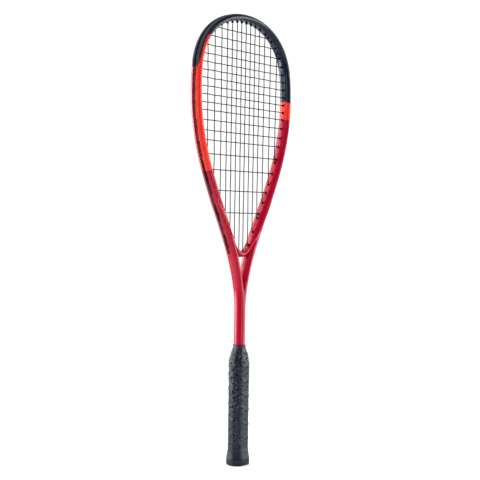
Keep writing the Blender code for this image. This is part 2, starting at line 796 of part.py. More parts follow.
def staple_object(name, side, face_x, mat):
    """Wire staple: the crown lies in the skirt, the legs run into both pallets."""
    hw, w = STAPLE_CROWN / 2, STAPLE_WIRE
    outer = face_x - 0.05 * MM
    shape = [(outer, -hw), (outer, hw), (outer - STAPLE_LEG, hw), (outer - STAPLE_LEG, hw - w),
             (outer - w, hw - w), (outer - w, -hw + w), (outer - STAPLE_LEG, -hw + w),
             (outer - STAPLE_LEG, -hw)]
    bm = loft([[Vector((side * x, y, STAPLE_Z + dz)) for x, y in shape]
               for dz in (-w / 2, w / 2)])
    return put(name, finish(bm, name, 30.0), mat)


def block(low, high, bm):
    size = Vector(high) - Vector(low)
    bmesh.ops.create_cube(bm, size=1.0, matrix=Matrix.Translation((Vector(high) + Vector(low)) / 2)
                          @ Matrix.Diagonal((*size, 1.0)))


def staple_room(face_x):
    """Slots and leg holes for both staples."""
    bm = bmesh.new()
    hw, w, g = STAPLE_CROWN / 2, STAPLE_WIRE, GAP
    inner = face_x - STAPLE_LEG - 0.05 * MM - g
    for side in (1, -1):
        for y in (-1, 1):
            xs = sorted((side * inner, side * (face_x + 1.0 * MM)))
            ys = sorted((y * (hw - w - g), y * (hw + g)))
            block((xs[0], ys[0], STAPLE_Z - w / 2 - g), (xs[1], ys[1], STAPLE_Z + w / 2 + g), bm)
    legs = put("staple_leg_room", finish(bm, "staple_leg_room"), None, cutters)
    bm = bmesh.new()
    for side in (1, -1):
        xs = sorted((side * (face_x - 0.05 * MM - w - 0.2 * MM), side * (face_x + 1.0 * MM)))
        block((xs[0], -hw + w, STAPLE_Z - w / 2 - g), (xs[1], hw - w, STAPLE_Z + w / 2 + g), bm)
    crown = put("staple_crown_room", finish(bm, "staple_crown_room"), None, cutters)
    return legs, crown


def tape_object(mat):
    def ring(grow, z, count=16):
        pts = []
        for i in range(count):
            n, d = oval(SHAFT_WIDTH / 2 + grow, SHAFT_DEPTH / 2 + grow, 2 * math.pi * i / count)
            pts.append(Vector((n, d, z)))
        return pts
    zs = (TAPE_BOTTOM_Z, TAPE_TOP_Z - 0.4 * MM, TAPE_TOP_Z)
    grows = (GAP + TAPE_THICK, GAP + TAPE_THICK, GAP + 0.45 * TAPE_THICK)
    outer = [ring(g, z) for g, z in zip(grows, zs)]
    inner = [ring(GAP, z) for z in zs]
    return put("finishing_tape", finish(ring_shell(outer, inner), "finishing_tape", 40.0), mat)


# ---------------------------------------------------------------- materials
CRIMSON = material("crimson_paint", (0.50, 0.012, 0.030), 0.30)
BRIDGE_RED = material("bridge_paint", (0.48, 0.012, 0.028), 0.30)
BUMPER_BLACK = material("bumper_nylon", (0.022, 0.024, 0.030), 0.55)
STRIP_LEFT = material("strip_nylon_left", (0.045, 0.018, 0.022), 0.55)
STRIP_RIGHT = material("strip_nylon_right", (0.045, 0.018, 0.022), 0.55)
BRIDGE_NYLON = material("bridge_nylon", (0.030, 0.018, 0.020), 0.55)
MAIN_BLACK = material("main_string_black", (0.010, 0.010, 0.011), 0.45)
CROSS_BLACK = material("cross_string_black", (0.011, 0.011, 0.012), 0.45)
FOAM_FRONT = material("pallet_foam_front", (0.55, 0.52, 0.44), 0.85)
FOAM_BACK = material("pallet_foam_back", (0.55, 0.52, 0.44), 0.85)
CAP_BLACK = material("cap_plastic", (0.018, 0.018, 0.020), 0.50)
STEEL_A = material("staple_steel_left", (0.60, 0.60, 0.58), 0.35, 1.0)
STEEL_B = material("staple_steel_right", (0.60, 0.60, 0.58), 0.35, 1.0)
GRIP_CHARCOAL = material("grip_charcoal", (0.045, 0.048, 0.055), 0.75)
TAPE_BLACK = material("tape_black", (0.015, 0.015, 0.016), 0.45)

# ----------------------------------------------------------------- assembly
frame = build_frame(CRIMSON)
every = [(s, side) for s in HOLE.values() for side in (1, -1)]
drill = [(at(s, lay(s)[2] / 2 + 2 * MM, 0, side), at(s, -lay(s)[2] / 2 - 2 * MM, 0, side))
         for s, side in every]
boolean(frame, put("string_holes", finish(rods(drill, HOLE_R), "string_holes"), None, cutters),
        "DIFFERENCE")

bridge_object(BRIDGE_RED)
bridge_grommet_object(BRIDGE_NYLON)

S_BUMPER = STATIONS[BUMPER_LAST]
arc = along(bumper_section, 0, BUMPER_LAST, 1)
arc = list(reversed(along(bumper_section, 1, BUMPER_LAST, -1))) + arc
bumper = loft(arc)
bmesh.ops.triangulate(bumper, faces=[f for f in bumper.faces if len(f.verts) > 4])
grommet_piece("head_bumper", bumper, barrels_for(-1.0, S_BUMPER - 1.5 * MM, (1, -1)), BUMPER_BLACK)
for name, side, mat in (("grommet_strip_left", -1, STRIP_LEFT),
                        ("grommet_strip_right", 1, STRIP_RIGHT)):
    rings = along(strip_section, BUMPER_LAST, CHANNEL_LAST, side)
    shift = (rings[1][0] - rings[0][0]).normalized() * GAP
    rings[0] = [p + shift for p in rings[0]]
    grommet_piece(name, loft(rings), barrels_for(S_BUMPER + 1.5 * MM, S_THROAT, (side,)), mat)

string_object("main_string", main_points(), MAIN_BLACK)
string_object("cross_string", cross_points(), CROSS_BLACK)

front = pallet_object("pallet_front", -1, FOAM_FRONT)
back = pallet_object("pallet_back", 1, FOAM_BACK)
cap, skirt = cap_object(CAP_BLACK)
leg_room, crown_room = staple_room(skirt[0] / 2)
for piece in (front, back):
    boolean(piece, leg_room, "DIFFERENCE")
boolean(cap, leg_room, "DIFFERENCE")
boolean(cap, crown_room, "DIFFERENCE")
staple_object("cap_staple_left", -1, skirt[0] / 2, STEEL_A)
staple_object("cap_staple_right", 1, skirt[0] / 2, STEEL_B)
grip_object(GRIP_CHARCOAL)
tape_object(TAPE_BLACK)
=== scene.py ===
import math

import bpy
import bmesh
import numpy as np
from mathutils import Matrix, Vector


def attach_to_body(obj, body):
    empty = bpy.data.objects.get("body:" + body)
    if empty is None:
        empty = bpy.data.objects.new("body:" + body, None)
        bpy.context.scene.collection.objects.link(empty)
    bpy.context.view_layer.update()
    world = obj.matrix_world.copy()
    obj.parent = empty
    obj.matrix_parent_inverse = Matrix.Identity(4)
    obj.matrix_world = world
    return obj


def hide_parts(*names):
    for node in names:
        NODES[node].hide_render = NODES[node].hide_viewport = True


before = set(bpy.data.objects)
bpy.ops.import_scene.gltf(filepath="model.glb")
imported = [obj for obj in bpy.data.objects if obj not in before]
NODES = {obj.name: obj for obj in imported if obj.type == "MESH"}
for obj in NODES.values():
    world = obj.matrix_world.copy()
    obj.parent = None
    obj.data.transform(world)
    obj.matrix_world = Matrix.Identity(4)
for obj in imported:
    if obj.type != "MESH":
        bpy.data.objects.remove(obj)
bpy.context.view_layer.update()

MM = 0.001

# ============================================================ measurements
# centreline of the tube, in the plane Y = 0
HEAD_HALF_WIDTH = 101.4 * MM
HEAD_WIDEST_Z = 561.0 * MM
HEAD_TOP_Z = 679.7 * MM
HEAD_TOP_POWER_X = 2.0
HEAD_TOP_POWER_Z = 2.9
ARM_PULL_UPPER = 100.0 * MM
ARM_PULL_LOWER = 78.5 * MM
THROAT_X = 16.2 * MM
THROAT_Z = 314.4 * MM
THROAT_LEAN = math.radians(19.5)
FORK_Z = 236.0 * MM
FORK_PULL_UPPER = 30.0 * MM
FORK_PULL_LOWER = 30.0 * MM
SHAFT_END_Z = 12.0 * MM

HEAD_TUBE = (9.3 * MM, 18.5 * MM)
ARM_FULL_Z = 345.0 * MM
ARM_TUBE = (12.4 * MM, 19.4 * MM)
THROAT_TUBE = (11.4 * MM, 18.5 * MM)
SHAFT_TUBE = (14.8 * MM, 16.8 * MM)
TUBE_POWER = 2.5

CHANNEL_DEPTH = 2.8 * MM
CHANNEL_END_Z = 324.5 * MM
GAP = 0.3 * MM
STRIP_THICK = 0.8 * MM
STRIP_HALF = 2.65 * MM
BUMPER_RISE = 0.9 * MM
BUMPER_HALF = 8.3 * MM
BARREL_R = 2.00 * MM
BARREL_PROUD = 1.3 * MM
THROAT_PROUD = 1.7 * MM
TIP_PROUD = 1.7 * MM
BORE_R = 0.88 * MM
HOLE_MIN_PITCH = 5.5 * MM

STRING_R = 0.72 * MM
MAIN_WEAVE = 0.24 * MM
CROSS_WEAVE = 1.15 * MM
LOOP_SIDE = 1.25 * MM
MAIN_FIRST = 5.1 * MM
MAIN_BRIDGE = 4.5 * MM
MAIN_PITCHES = [10.2, 10.3, 10.8, 12.4, 14.4, 15.0]
CROSS_TOP_Z = 657.8 * MM
CROSS_PITCHES = [14.0, 14.0, 12.7, 12.3, 11.7, 11.7, 12.0, 12.0, 11.6,
                 11.5, 14.3, 15.1, 14.1, 20.2, 22.7, 30.5, 33.0]

BRIDGE_UNDERSIDE_Z = 318.9 * MM

GRIP_BOTTOM_Z = 10.8 * MM
GRIP_FLARE_Z = 31.0 * MM
GRIP_FULL_Z = 153.0 * MM
GRIP_TOP_Z = 177.4 * MM
GRIP_X = 33.6 * MM
GRIP_Y = 29.0 * MM
GRIP_CHAMFER = 8.7 * MM
GRIP_FLARE = 3.6 * MM
GRIP_TAPER_X = 13.0 * MM
GRIP_TAPER_Y = 9.6 * MM
GRIP_TAPER_CHAMFER = 3.3 * MM
TAPE_BOTTOM_Z = 177.0 * MM
TAPE_TOP_Z = 184.2 * MM

# paint fields, as lengths along the centreline from the tip of the head
BLACK_END_LEFT = 93.5 * MM
BLACK_SLANT_LEFT = 6.5 * MM
BLACK_END_RIGHT = 178.5 * MM
ORANGE_END_LEFT = 297.0 * MM
ORANGE_END_RIGHT = 206.5 * MM
BUMPER_END = 147.2 * MM

# camera at the photograph's angle
FOCAL_PX = 982.3
CAM_AZIMUTH = math.radians(-48.0)
CAM_ELEVATION = math.radians(1.0695)
CAM_ROLL = math.radians(0.8616)
CAM_DISTANCE = 1.4985
CAM_TARGET = Vector((-0.0020, 0.0, 0.3433))


# ================================================================ helpers
def smooth01(t):
    t = np.clip(t, 0.0, 1.0)
    return t * t * (3 - 2 * t)


def piece(name, verts, faces, mat, node=None, sharp=None, layers=None):
    """Mesh object that stands for a CAD node and rides on the one body."""
    me = bpy.data.meshes.new(name)
    me.from_pydata([tuple(map(float, v)) for v in verts], [], [tuple(map(int, f)) for f in faces])
    me.update()
    for key, values in (layers or {}).items():
        layer = me.attributes.new(key, "FLOAT", "POINT")
        layer.data.foreach_set("value", np.asarray(values, np.float32))
    bm = bmesh.new()
    bm.from_mesh(me)
    bmesh.ops.recalc_face_normals(bm, faces=bm.faces)
    bm.to_mesh(me)
    bm.free()
    me.materials.append(mat)
    me.shade_smooth()
    if sharp is not None:
        me.set_sharp_from_angle(angle=math.radians(sharp))
    ob = bpy.data.objects.new(name, me)
    bpy.context.scene.collection.objects.link(ob)
    return attach(ob, node)


def attach(ob, node):
    if node:
        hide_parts(node)
    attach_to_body(ob, "root")
    return ob


def grid(rows, cols, wrap_rows=False, wrap_cols=True, start=0):
    """Quads over a rows x cols lattice of points."""
    faces = []
    for i in range(rows if wrap_rows else rows - 1):
        k = (i + 1) % rows
        for j in range(cols if wrap_cols else cols - 1):
            m = (j + 1) % cols
            faces.append((start + i * cols + j, start + i * cols + m,
                          start + k * cols + m, start + k * cols + j))
    return faces


class Soup:
    """Collects closed shells into one mesh."""

    def __init__(self):
        self.verts, self.faces, self.count = [], [], 0

    def add(self, verts, faces):
        self.verts.append(np.asarray(verts, float).reshape(-1, 3))
        self.faces += [tuple(v + self.count for v in f) for f in faces]
        self.count += len(self.verts[-1])

    def rings(self, rings, caps=True, wrap=False):
        rings = np.asarray(rings, float)
        n, m = rings.shape[:2]
        faces = grid(n, m, wrap_rows=wrap)
        if caps and not wrap:
            faces.append(tuple(reversed(range(m))))
            faces.append(tuple((n - 1) * m + j for j in range(m)))
        self.add(rings.reshape(-1, 3), faces)

    def all(self):
        return np.concatenate(self.verts), self.faces


# ============================================================== centreline
def cubic(p0, p1, p2, p3, t):
    t = t[:, None]
    u = 1 - t
    return (u ** 3 * np.array(p0) + 3 * u * u * t * np.array(p1)
            + 3 * u * t * t * np.array(p2) + t ** 3 * np.array(p3))


def half_line():
    u = np.pi / 2 * (1 - np.linspace(0, 1, 3000) ** 1.6)
    u = np.concatenate([u[:-1], [0.0]])
    top = np.stack([HEAD_HALF_WIDTH * np.clip(np.cos(u), 0, 1) ** (2 / HEAD_TOP_POWER_X),
                    HEAD_WIDEST_Z + (HEAD_TOP_Z - HEAD_WIDEST_Z)
                    * np.clip(np.sin(u), 0, 1) ** (2 / HEAD_TOP_POWER_Z)], -1)
    top[0] = (0.0, HEAD_TOP_Z)
    t = np.linspace(0, 1, 1500)[1:]
    wide, throat = (HEAD_HALF_WIDTH, HEAD_WIDEST_Z), (THROAT_X, THROAT_Z)
    up = (math.sin(THROAT_LEAN), math.cos(THROAT_LEAN))
    arm = cubic(wide, (wide[0], wide[1] - ARM_PULL_UPPER),
                (throat[0] + ARM_PULL_LOWER * up[0], throat[1] + ARM_PULL_LOWER * up[1]), throat, t)
    fork = cubic(throat, (throat[0] - FORK_PULL_UPPER * up[0], throat[1] - FORK_PULL_UPPER * up[1]),
                 (0.0, FORK_Z + FORK_PULL_LOWER), (0.0, FORK_Z), t)
    shaft = np.stack([np.zeros(600), np.linspace(FORK_Z, SHAFT_END_Z, 601)[1:]], -1)
    marks = (len(top) - 1, len(top) + len(arm) - 1, len(top) + len(arm) + len(fork) - 1)
    return np.concatenate([top, arm, fork, shaft]), marks


LINE, MARKS = half_line()
RUN = np.concatenate([[0.0], np.cumsum(np.hypot(*np.diff(LINE, axis=0).T))])
S_WIDE, S_THROAT, S_FORK = (RUN[m] for m in MARKS)
S_END = RUN[-1]
S_ARM = float(np.interp(-ARM_FULL_Z, -LINE[MARKS[0]:, 1], RUN[MARKS[0]:]))
S_CHANNEL = float(np.interp(-CHANNEL_END_Z, -LINE[MARKS[0]:, 1], RUN[MARKS[0]:]))
_t = np.stack([np.gradient(LINE[:, 0], RUN), np.gradient(LINE[:, 1], RUN)], -1)
_even = np.arange(0.0, S_END, 0.5 * MM)
_dx, _dz = (np.interp(_even, RUN, _t[:, k]) for k in (0, 1))


def _soften(values, sign):
    """Rounds off the jumps of curvature where the arcs meet."""
    pad = 30
    kernel = np.exp(-0.5 * (np.arange(-12, 13) / 5.0) ** 2)
    kernel /= kernel.sum()
    full = np.concatenate([sign * values[pad:0:-1], values, np.full(pad, values[-1])])
    return np.convolve(full, kernel, "same")[pad:-pad]


_dx, _dz = _soften(_dx, 1.0), _soften(_dz, -1.0)


def centre(s):
    s = np.asarray(s, float)
    return np.stack([np.interp(s, RUN, LINE[:, 0]), 0 * s, np.interp(s, RUN, LINE[:, 1])], -1)


def outward(s):
    s = np.asarray(s, float)
    x, z = np.interp(s, _even, _dx), np.interp(s, _even, _dz)
    length = np.hypot(x, z)
    return np.stack([-z / length, 0 * s, x / length], -1)


def tube(s):
    """Width and depth of the tube."""
    s = np.asarray(s, float)
    fork = smooth01((s - S_THROAT) / (S_FORK - S_THROAT))
    sizes = []
    for k in (0, 1):
        head = np.interp(s, [0.0, S_ARM, S_THROAT], [HEAD_TUBE[k], ARM_TUBE[k], THROAT_TUBE[k]])
        sizes.append(head + (SHAFT_TUBE[k] - THROAT_TUBE[k]) * fork)
    return sizes


def at(s, n, y, side=1):
    s = np.asarray(s, float)
    p = centre(s) + outward(s) * np.asarray(n)[..., None]
    p[..., 0] *= side
    p[..., 1] += y
    return p


def rail(a, b, y):
    return a * np.clip(1 - np.abs(y / b) ** TUBE_POWER, 0, 1) ** (1 / TUBE_POWER)


def oval(a, b, angle):
    c, s = np.cos(angle), np.sin(angle)
    return (a * np.sign(c) * np.abs(c) ** (2 / TUBE_POWER),
            b * np.sign(s) * np.abs(s) ** (2 / TUBE_POWER))


# ============================================================ string layout
MAIN_X = np.cumsum([MAIN_FIRST / MM] + MAIN_PITCHES) * MM
CROSS_Z = CROSS_TOP_Z - np.cumsum([0.0] + CROSS_PITCHES) * MM


def half_width(s):
    return float(tube(s)[0]) / 2


def longer(kind, k):
    """Extra reach of the barrels next to the bridge and of those at the tip of the head."""
    if kind == "top":
        return TIP_PROUD * max(0.0, 1 - k / 5.5)
    return THROAT_PROUD if (kind, k) == ("bottom", 1) else 0.0


def mouth(s, side=1, extra=0.0):
    return at(s, -half_width(s) - BARREL_PROUD - extra - 0.3 * MM, 0.0, side)


def solve(test, lo, hi):
    sign = test(lo) > 0
    for _ in range(50):
        mid = (lo + hi) / 2
        if (test(mid) > 0) == sign:
            lo = mid
        else:
            hi = mid
    return (lo + hi) / 2


holes = []
for k, x in enumerate(MAIN_X):
    holes.append([solve(lambda s: mouth(s, 1, longer("top", k))[0] - x, 0.0, S_WIDE), "top", k])
    if k:
        reach = (0.5 - 0.44 * (6 - k)) * MM if k > 1 else -2.8 * MM
        holes.append([solve(lambda s: at(s, reach - half_width(s), 0.0)[0] - x, S_WIDE, S_THROAT),
                      "bottom", k])
for k, z in enumerate(CROSS_Z):
    holes.append([solve(lambda s: mouth(s)[2] - z, 0.0, S_THROAT), "cross", k])
holes.sort(key=lambda h: h[0])
for _ in range(400):
    for a, b in zip(holes, holes[1:]):
        near = HOLE_MIN_PITCH - (b[0] - a[0])
        if near > 0:
            a[0] -= near / 2
            b[0] += near / 2
HOLE = {(kind, k): s for s, kind, k in holes}


# ================================================================ materials
class Paint:
    """Small helper to write node materials."""

    def __init__(self, name):
        self.mat = bpy.data.materials.new(name)
        self.mat.use_nodes = True
        self.tree = self.mat.node_tree
        self.bsdf = self.tree.nodes["Principled BSDF"]

    def node(self, kind, inputs=None, **props):
        n = self.tree.nodes.new(kind)
        for key, value in props.items():
            setattr(n, key, value)
        for key, value in (inputs or {}).items():
            self.put(n.inputs[key], value)
        return n

    def put(self, socket, value):
        if isinstance(value, bpy.types.NodeSocket):
            self.tree.links.new(value, socket)
        else:
            socket.default_value = value

    def set(self, **values):
        for key, value in values.items():
            self.put(self.bsdf.inputs[key.replace("_", " ")], value)

    def math(self, op, a, b=0.0, c=0.0, clamp=False):
        n = self.node("ShaderNodeMath", operation=op, use_clamp=clamp)
        for socket, value in zip(n.inputs, (a, b, c)):
            self.put(socket, value)
        return n.outputs[0]

    def step(self, value, low, high):
        """0 below low, 1 above high, smooth between."""
        n = self.node("ShaderNodeMapRange", interpolation_type="SMOOTHSTEP")
        for key, v in (("Value", value), ("From Min", low), ("From Max", high)):
            self.put(n.inputs[key], v)
        return n.outputs[0]

    def span(self, value, low, high, to_low, to_high):
        n = self.node("ShaderNodeMapRange")
        for key, v in (("Value", value), ("From Min", low), ("From Max", high),
                       ("To Min", to_low), ("To Max", to_high)):
            self.put(n.inputs[key], v)
        return n.outputs[0]

    def mix(self, fac, a, b, blend="MIX"):
        n = self.node("ShaderNodeMix", data_type="RGBA", blend_type=blend)
        self.put(n.inputs[0], fac)
        for socket, v in ((n.inputs[6], a), (n.inputs[7], b)):
            self.put(socket, v if isinstance(v, bpy.types.NodeSocket) else (*v, 1.0))
        return n.outputs[2]

    def blend(self, fac, a, b):
        n = self.node("ShaderNodeMix", data_type="FLOAT")
        for socket, v in zip((n.inputs[0], n.inputs[2], n.inputs[3]), (fac, a, b)):
            self.put(socket, v)
        return n.outputs[0]

    def value(self, name):
        return self.node("ShaderNodeAttribute", attribute_name=name).outputs["Fac"]

    def place(self):
        return self.node("ShaderNodeTexCoord").outputs["Object"]

    def noise(self, scale, detail=3.0, rough=0.55, vector=None):
        n = self.node("ShaderNodeTexNoise", inputs={"Scale": scale, "Detail": detail,
                                                    "Roughness": rough})
        self.put(n.inputs["Vector"], vector or self.place())
        return n.outputs["Fac"]

    def cells(self, scale, randomness=1.0, vector=None, feature="F1"):
        n = self.node("ShaderNodeTexVoronoi", feature=feature,
                      inputs={"Scale": scale, "Randomness": randomness})
        self.put(n.inputs["Vector"], vector or self.place())
        return n.outputs["Distance"]

    def bump(self, height, strength, distance):
        n = self.node("ShaderNodeBump", inputs={"Strength": strength, "Distance": distance})
        self.put(n.inputs["Height"], height)
        self.put(self.bsdf.inputs["Normal"], n.outputs["Normal"])


CRIMSON = (0.375, 0.0036, 0.0250)
CRIMSON_DEEP = (0.320, 0.0021, 0.0183)
ORANGE = (0.820, 0.0390, 0.0265)
ORANGE_DEEP = (0.760, 0.0310, 0.0210)
NAVY = (0.0087, 0.0150, 0.0307)
# pale pink of the painted highlight along the throat's rim line
RIM_HIGHLIGHT_PINK = (0.640, 0.0700, 0.0900)
# pale dusty pinks painted on the back of the outer wall as a grazing reflection over shade
WALL_REFLECTION_ORANGE = (0.430, 0.0720, 0.0760)
WALL_REFLECTION_CRIMSON = (0.260, 0.0620, 0.0800)
CRIMSON_SHADE = (0.170, 0.0012, 0.0085)


def lacquer(name, fields, gloss=0.16):
    """Glossy lacquer with a fine pearl in it; fields adds the head's colour fields."""
    p = Paint(name)
    where = p.place()
    pearl = p.noise(5200.0, 2.0, 0.6, where)
    cloud = p.noise(26.0, 3.0, 0.5, where)
    tone = p.math("ADD", p.math("MULTIPLY", pearl, 0.55), p.math("MULTIPLY", cloud, 0.45))
    tone = p.step(tone, 0.36, 0.64)
    crimson = p.mix(tone, CRIMSON_DEEP, CRIMSON)
    colour = crimson
    dark = None
    if fields:
        run, lean = p.value("run"), p.value("lean")
        sep = p.node("ShaderNodeSeparateXYZ", inputs={"Vector": where})
        right = p.step(sep.outputs["X"], -0.0005, 0.0005)
        wobble = p.math("MULTIPLY", p.math("SUBTRACT", p.noise(420.0, 2.0, 0.5, where), 0.5),
                        0.0005)
        run = p.math("ADD", run, wobble)
        left_end = p.math("MULTIPLY_ADD", lean, BLACK_SLANT_LEFT, BLACK_END_LEFT)
        right_end = p.math("MULTIPLY_ADD", lean, 2.4 * MM, BLACK_END_RIGHT + 1.2 * MM)
        black_end = p.blend(right, left_end, right_end)
        orange_end = p.blend(right, ORANGE_END_LEFT, ORANGE_END_RIGHT)
        past_black = p.step(p.math("SUBTRACT", run, black_end), -0.0003, 0.0003)
        past_orange = p.step(p.math("SUBTRACT", run, orange_end), -0.0005, 0.0005)
        orange = p.mix(tone, ORANGE_DEEP, ORANGE)
        # painted reflection over shade on the back of the outer wall, fading out near the channel's end
        wall = p.math("MULTIPLY", p.step(lean, 0.50, 0.72), p.step(sep.outputs["Y"], 0.0018, 0.0032))
        below = p.step(run, S_CHANNEL - 30.0 * MM, S_CHANNEL + 6.0 * MM)
        wall = p.math("MULTIPLY", wall, p.math("SUBTRACT", 0.8, below, clamp=True))
        # painted shade: on the left arm the orange darkens towards deep crimson within 36 mm of the black field
        tip = p.step(p.math("SUBTRACT", run, black_end), 36.0 * MM, 0.0)
        tip = p.math("MULTIPLY", tip, p.math("SUBTRACT", 0.62, right, clamp=True))
        orange = p.mix(tip, orange, CRIMSON_DEEP)
        orange = p.mix(wall, orange, WALL_REFLECTION_ORANGE)
        crimson = p.mix(wall, crimson, WALL_REFLECTION_CRIMSON)
        # painted shade: the front of the right arm darkens towards its outer edge
        shade = p.math("MULTIPLY", p.step(lean, -0.5, 0.2), p.step(sep.outputs["X"], 0.024, 0.050))
        shade = p.math("MULTIPLY", shade, p.step(sep.outputs["Y"], 0.0, -0.004))
        crimson = p.mix(p.math("MULTIPLY", shade, 0.6), crimson, CRIMSON_SHADE)
        navy = p.mix(tone, tuple(0.72 * c for c in NAVY), NAVY)
        colour = p.mix(past_orange, orange, crimson)
        colour = p.mix(past_black, navy, colour)
        dark = past_black
    # painted shade: faces marked by the "under" attribute, the bridge web's front and underside below the rim
    # line, darken towards CRIMSON_SHADE
    colour = p.mix(p.math("MULTIPLY", p.value("under"), 0.75), colour, CRIMSON_SHADE)
    # painted highlight: a pale pink line along the rim bead, marked by the "rim" attribute, stands in for light
    # on its upper edge
    line = p.step(p.value("rim"), 0.45, 0.85)
    colour = p.mix(p.math("MULTIPLY", line, 0.85), colour, RIM_HIGHLIGHT_PINK)
    scuff = p.step(p.noise(900.0, 4.0, 0.7, where), 0.60, 0.78)
    colour = p.mix(p.math("MULTIPLY", scuff, 0.05), colour, (0.23, 0.13, 0.13))
    rough = p.span(p.noise(150.0, 4.0, 0.6, where), 0.25, 0.75, 0.17, 0.24)
    rough = p.math("ADD", rough, p.math("MULTIPLY", scuff, 0.10))
    p.set(Base_Color=colour, Roughness=rough)
    p.set(Specular_IOR_Level=gloss, Coat_Weight=0.125 * gloss, Coat_Roughness=0.12)
    p.bump(p.noise(1500.0, 2.0, 0.5, where), 0.10, 0.00004)
    return p.mat


def moulded(name, low, high, rough=(0.42, 0.58), grain=2600.0, depth=0.00005, strength=0.35,
            gloss=0.30, glint=(1.0, 1.0, 1.0, 1.0), groove=None):
    """Moulded plastic: faint mottling, fine spark-eroded grain and light rubbing; groove, if given, is a
    painted shade colour for the string groove and the outer lips.
    """
    p = Paint(name)
    where = p.place()
    tone = p.step(p.noise(90.0, 4.0, 0.6, where), 0.3, 0.7)
    colour = p.mix(tone, low, high)
    rub = p.step(p.noise(520.0, 5.0, 0.72, where), 0.58, 0.80)
    colour = p.mix(p.math("MULTIPLY", rub, 0.22), colour, tuple(2.4 * c + 0.004 for c in high))
    # painted shade: the middle of the string groove and the outer lips take the darker groove colour
    if groove:
        sep = p.node("ShaderNodeSeparateXYZ", inputs={"Vector": where})
        out = p.math("ABSOLUTE", sep.outputs["Y"])
        band = p.math("MULTIPLY", p.step(out, 0.0008, 0.0028), p.step(out, 0.0080, 0.0064))
        colour = p.mix(band, groove, colour)
    r = p.span(p.noise(240.0, 3.0, 0.6, where), 0.25, 0.75, rough[0], rough[1])
    p.set(Base_Color=colour, Roughness=r)
    p.set(Specular_IOR_Level=gloss, Specular_Tint=glint)
    p.bump(p.noise(grain, 3.0, 0.6, where), strength, depth)
    return p.mat


def string_material(name, tint):
    """Black synthetic gut: a spiral of fine fibres under a thin clear sheath."""
    p = Paint(name)
    run, turn = p.value("run"), p.value("turn")
    spiral = p.math("ADD", p.math("MULTIPLY", run, 900.0), p.math("MULTIPLY", turn, 3.0))
    fibre = p.math("SINE", p.math("MULTIPLY", spiral, 2 * math.pi))
    fibre = p.math("MULTIPLY_ADD", fibre, 0.5, 0.5)
    patch = p.step(p.noise(160.0, 3.0, 0.6), 0.3, 0.7)
    colour = p.mix(fibre, tint, tuple(1.7 * c for c in tint))
    colour = p.mix(p.math("MULTIPLY", patch, 0.4), colour, tuple(0.6 * c for c in tint))
    p.set(Base_Color=colour, Roughness=p.span(fibre, 0.0, 1.0, 0.42, 0.56))
    p.set(Specular_IOR_Level=0.11)
    p.bump(fibre, 0.25, 0.00003)
    return p.mat


def grip_material():
    """Perforated polyurethane tape: mottled slate, pale specks painted as glints, punched holes painted near
    black, dark laps.
    """
    p = Paint("grip_polyurethane")
    where = p.place()
    hole, edge, tread, rim = p.value("hole"), p.value("lap"), p.value("tread"), p.value("rim")
    speck, cloud = p.value("speck"), p.value("cloud")
    tone = p.math("ADD", p.noise(150.0, 4.0, 0.65, where), p.math("MULTIPLY", cloud, 0.10))
    colour = p.mix(p.step(tone, 0.25, 0.75), (0.0034, 0.0060, 0.0135), (0.0072, 0.0112, 0.0240))
    grain = p.cells(1300.0, 1.0, where)
    colour = p.mix(p.math("MULTIPLY", p.step(grain, 0.0, 0.55), 0.35), (0.012, 0.013, 0.017), colour)
    # painted highlight: pale specks on the tread and a faint pale ring round each hole stand in for glints on
    # raised grain and hole rims
    pale = p.math("MULTIPLY", p.step(speck, 1.25, 2.1), tread)
    pale = p.math("MAXIMUM", pale, p.math("MULTIPLY", rim, 0.06))
    colour = p.mix(pale, colour, (0.150, 0.160, 0.185))
    dim = p.math("MULTIPLY", p.step(p.math("MULTIPLY", speck, -1.0), 0.7, 1.5), tread)
    colour = p.mix(p.math("MULTIPLY", dim, 0.85), colour, (0.0022, 0.0026, 0.0040))
    colour = p.mix(p.math("MULTIPLY", edge, 0.45), colour, (0.006, 0.007, 0.010))
    # the punched holes are painted near black
    colour = p.mix(hole, colour, (0.0010, 0.0011, 0.0016))
    rough = p.span(grain, 0.0, 0.8, 0.43, 0.31)
    rough = p.math("ADD", rough, p.math("MULTIPLY", p.math("MAXIMUM", hole, dim), 0.40), clamp=True)
    p.set(Base_Color=colour, Roughness=rough)
    p.set(Specular_IOR_Level=0.28, Specular_Tint=(0.78, 0.87, 1.0, 1.0))
    height = p.math("ADD", p.math("MULTIPLY", grain, 0.7),
                    p.math("MULTIPLY", p.noise(420.0, 3.0, 0.6, where), 0.5))
    p.bump(height, 0.45, 0.00010)
    return p.mat


def punched_material():
    """Inside of the punched holes: dull and nearly black."""
    p = Paint("grip_hole_inside")
    where = p.place()
    hole_noise = p.noise(2400.0, 3.0, 0.7, where)
    p.set(Base_Color=p.mix(p.step(hole_noise, 0.35, 0.65), (0.0008, 0.0009, 0.0013), (0.0026, 0.0028, 0.0036)),
          Roughness=p.span(hole_noise, 0.2, 0.8, 0.86, 0.96))
    p.set(Specular_IOR_Level=0.03)
    p.bump(hole_noise, 0.3, 0.00005)
    return p.mat


def tape_material():
    """Adhesive vinyl: faint ribs along the wrap."""
    p = Paint("finishing_vinyl")
    where = p.place()
    sep = p.node("ShaderNodeSeparateXYZ", inputs={"Vector": where})
    rib = p.math("SINE", p.math("MULTIPLY", sep.outputs["Z"], 9000.0))
    tone = p.step(p.noise(300.0, 4.0, 0.6, where), 0.3, 0.7)
    p.set(Base_Color=p.mix(tone, (0.0085, 0.0048, 0.0066), (0.0165, 0.0105, 0.0135)),
          Roughness=p.span(tone, 0.0, 1.0, 0.38, 0.50))
    p.set(Specular_IOR_Level=0.30, Specular_Tint=(1.0, 0.84, 0.92, 1.0))
    p.bump(p.math("ADD", rib, p.noise(800.0, 2.0, 0.5, where)), 0.15, 0.00003)
    return p.mat


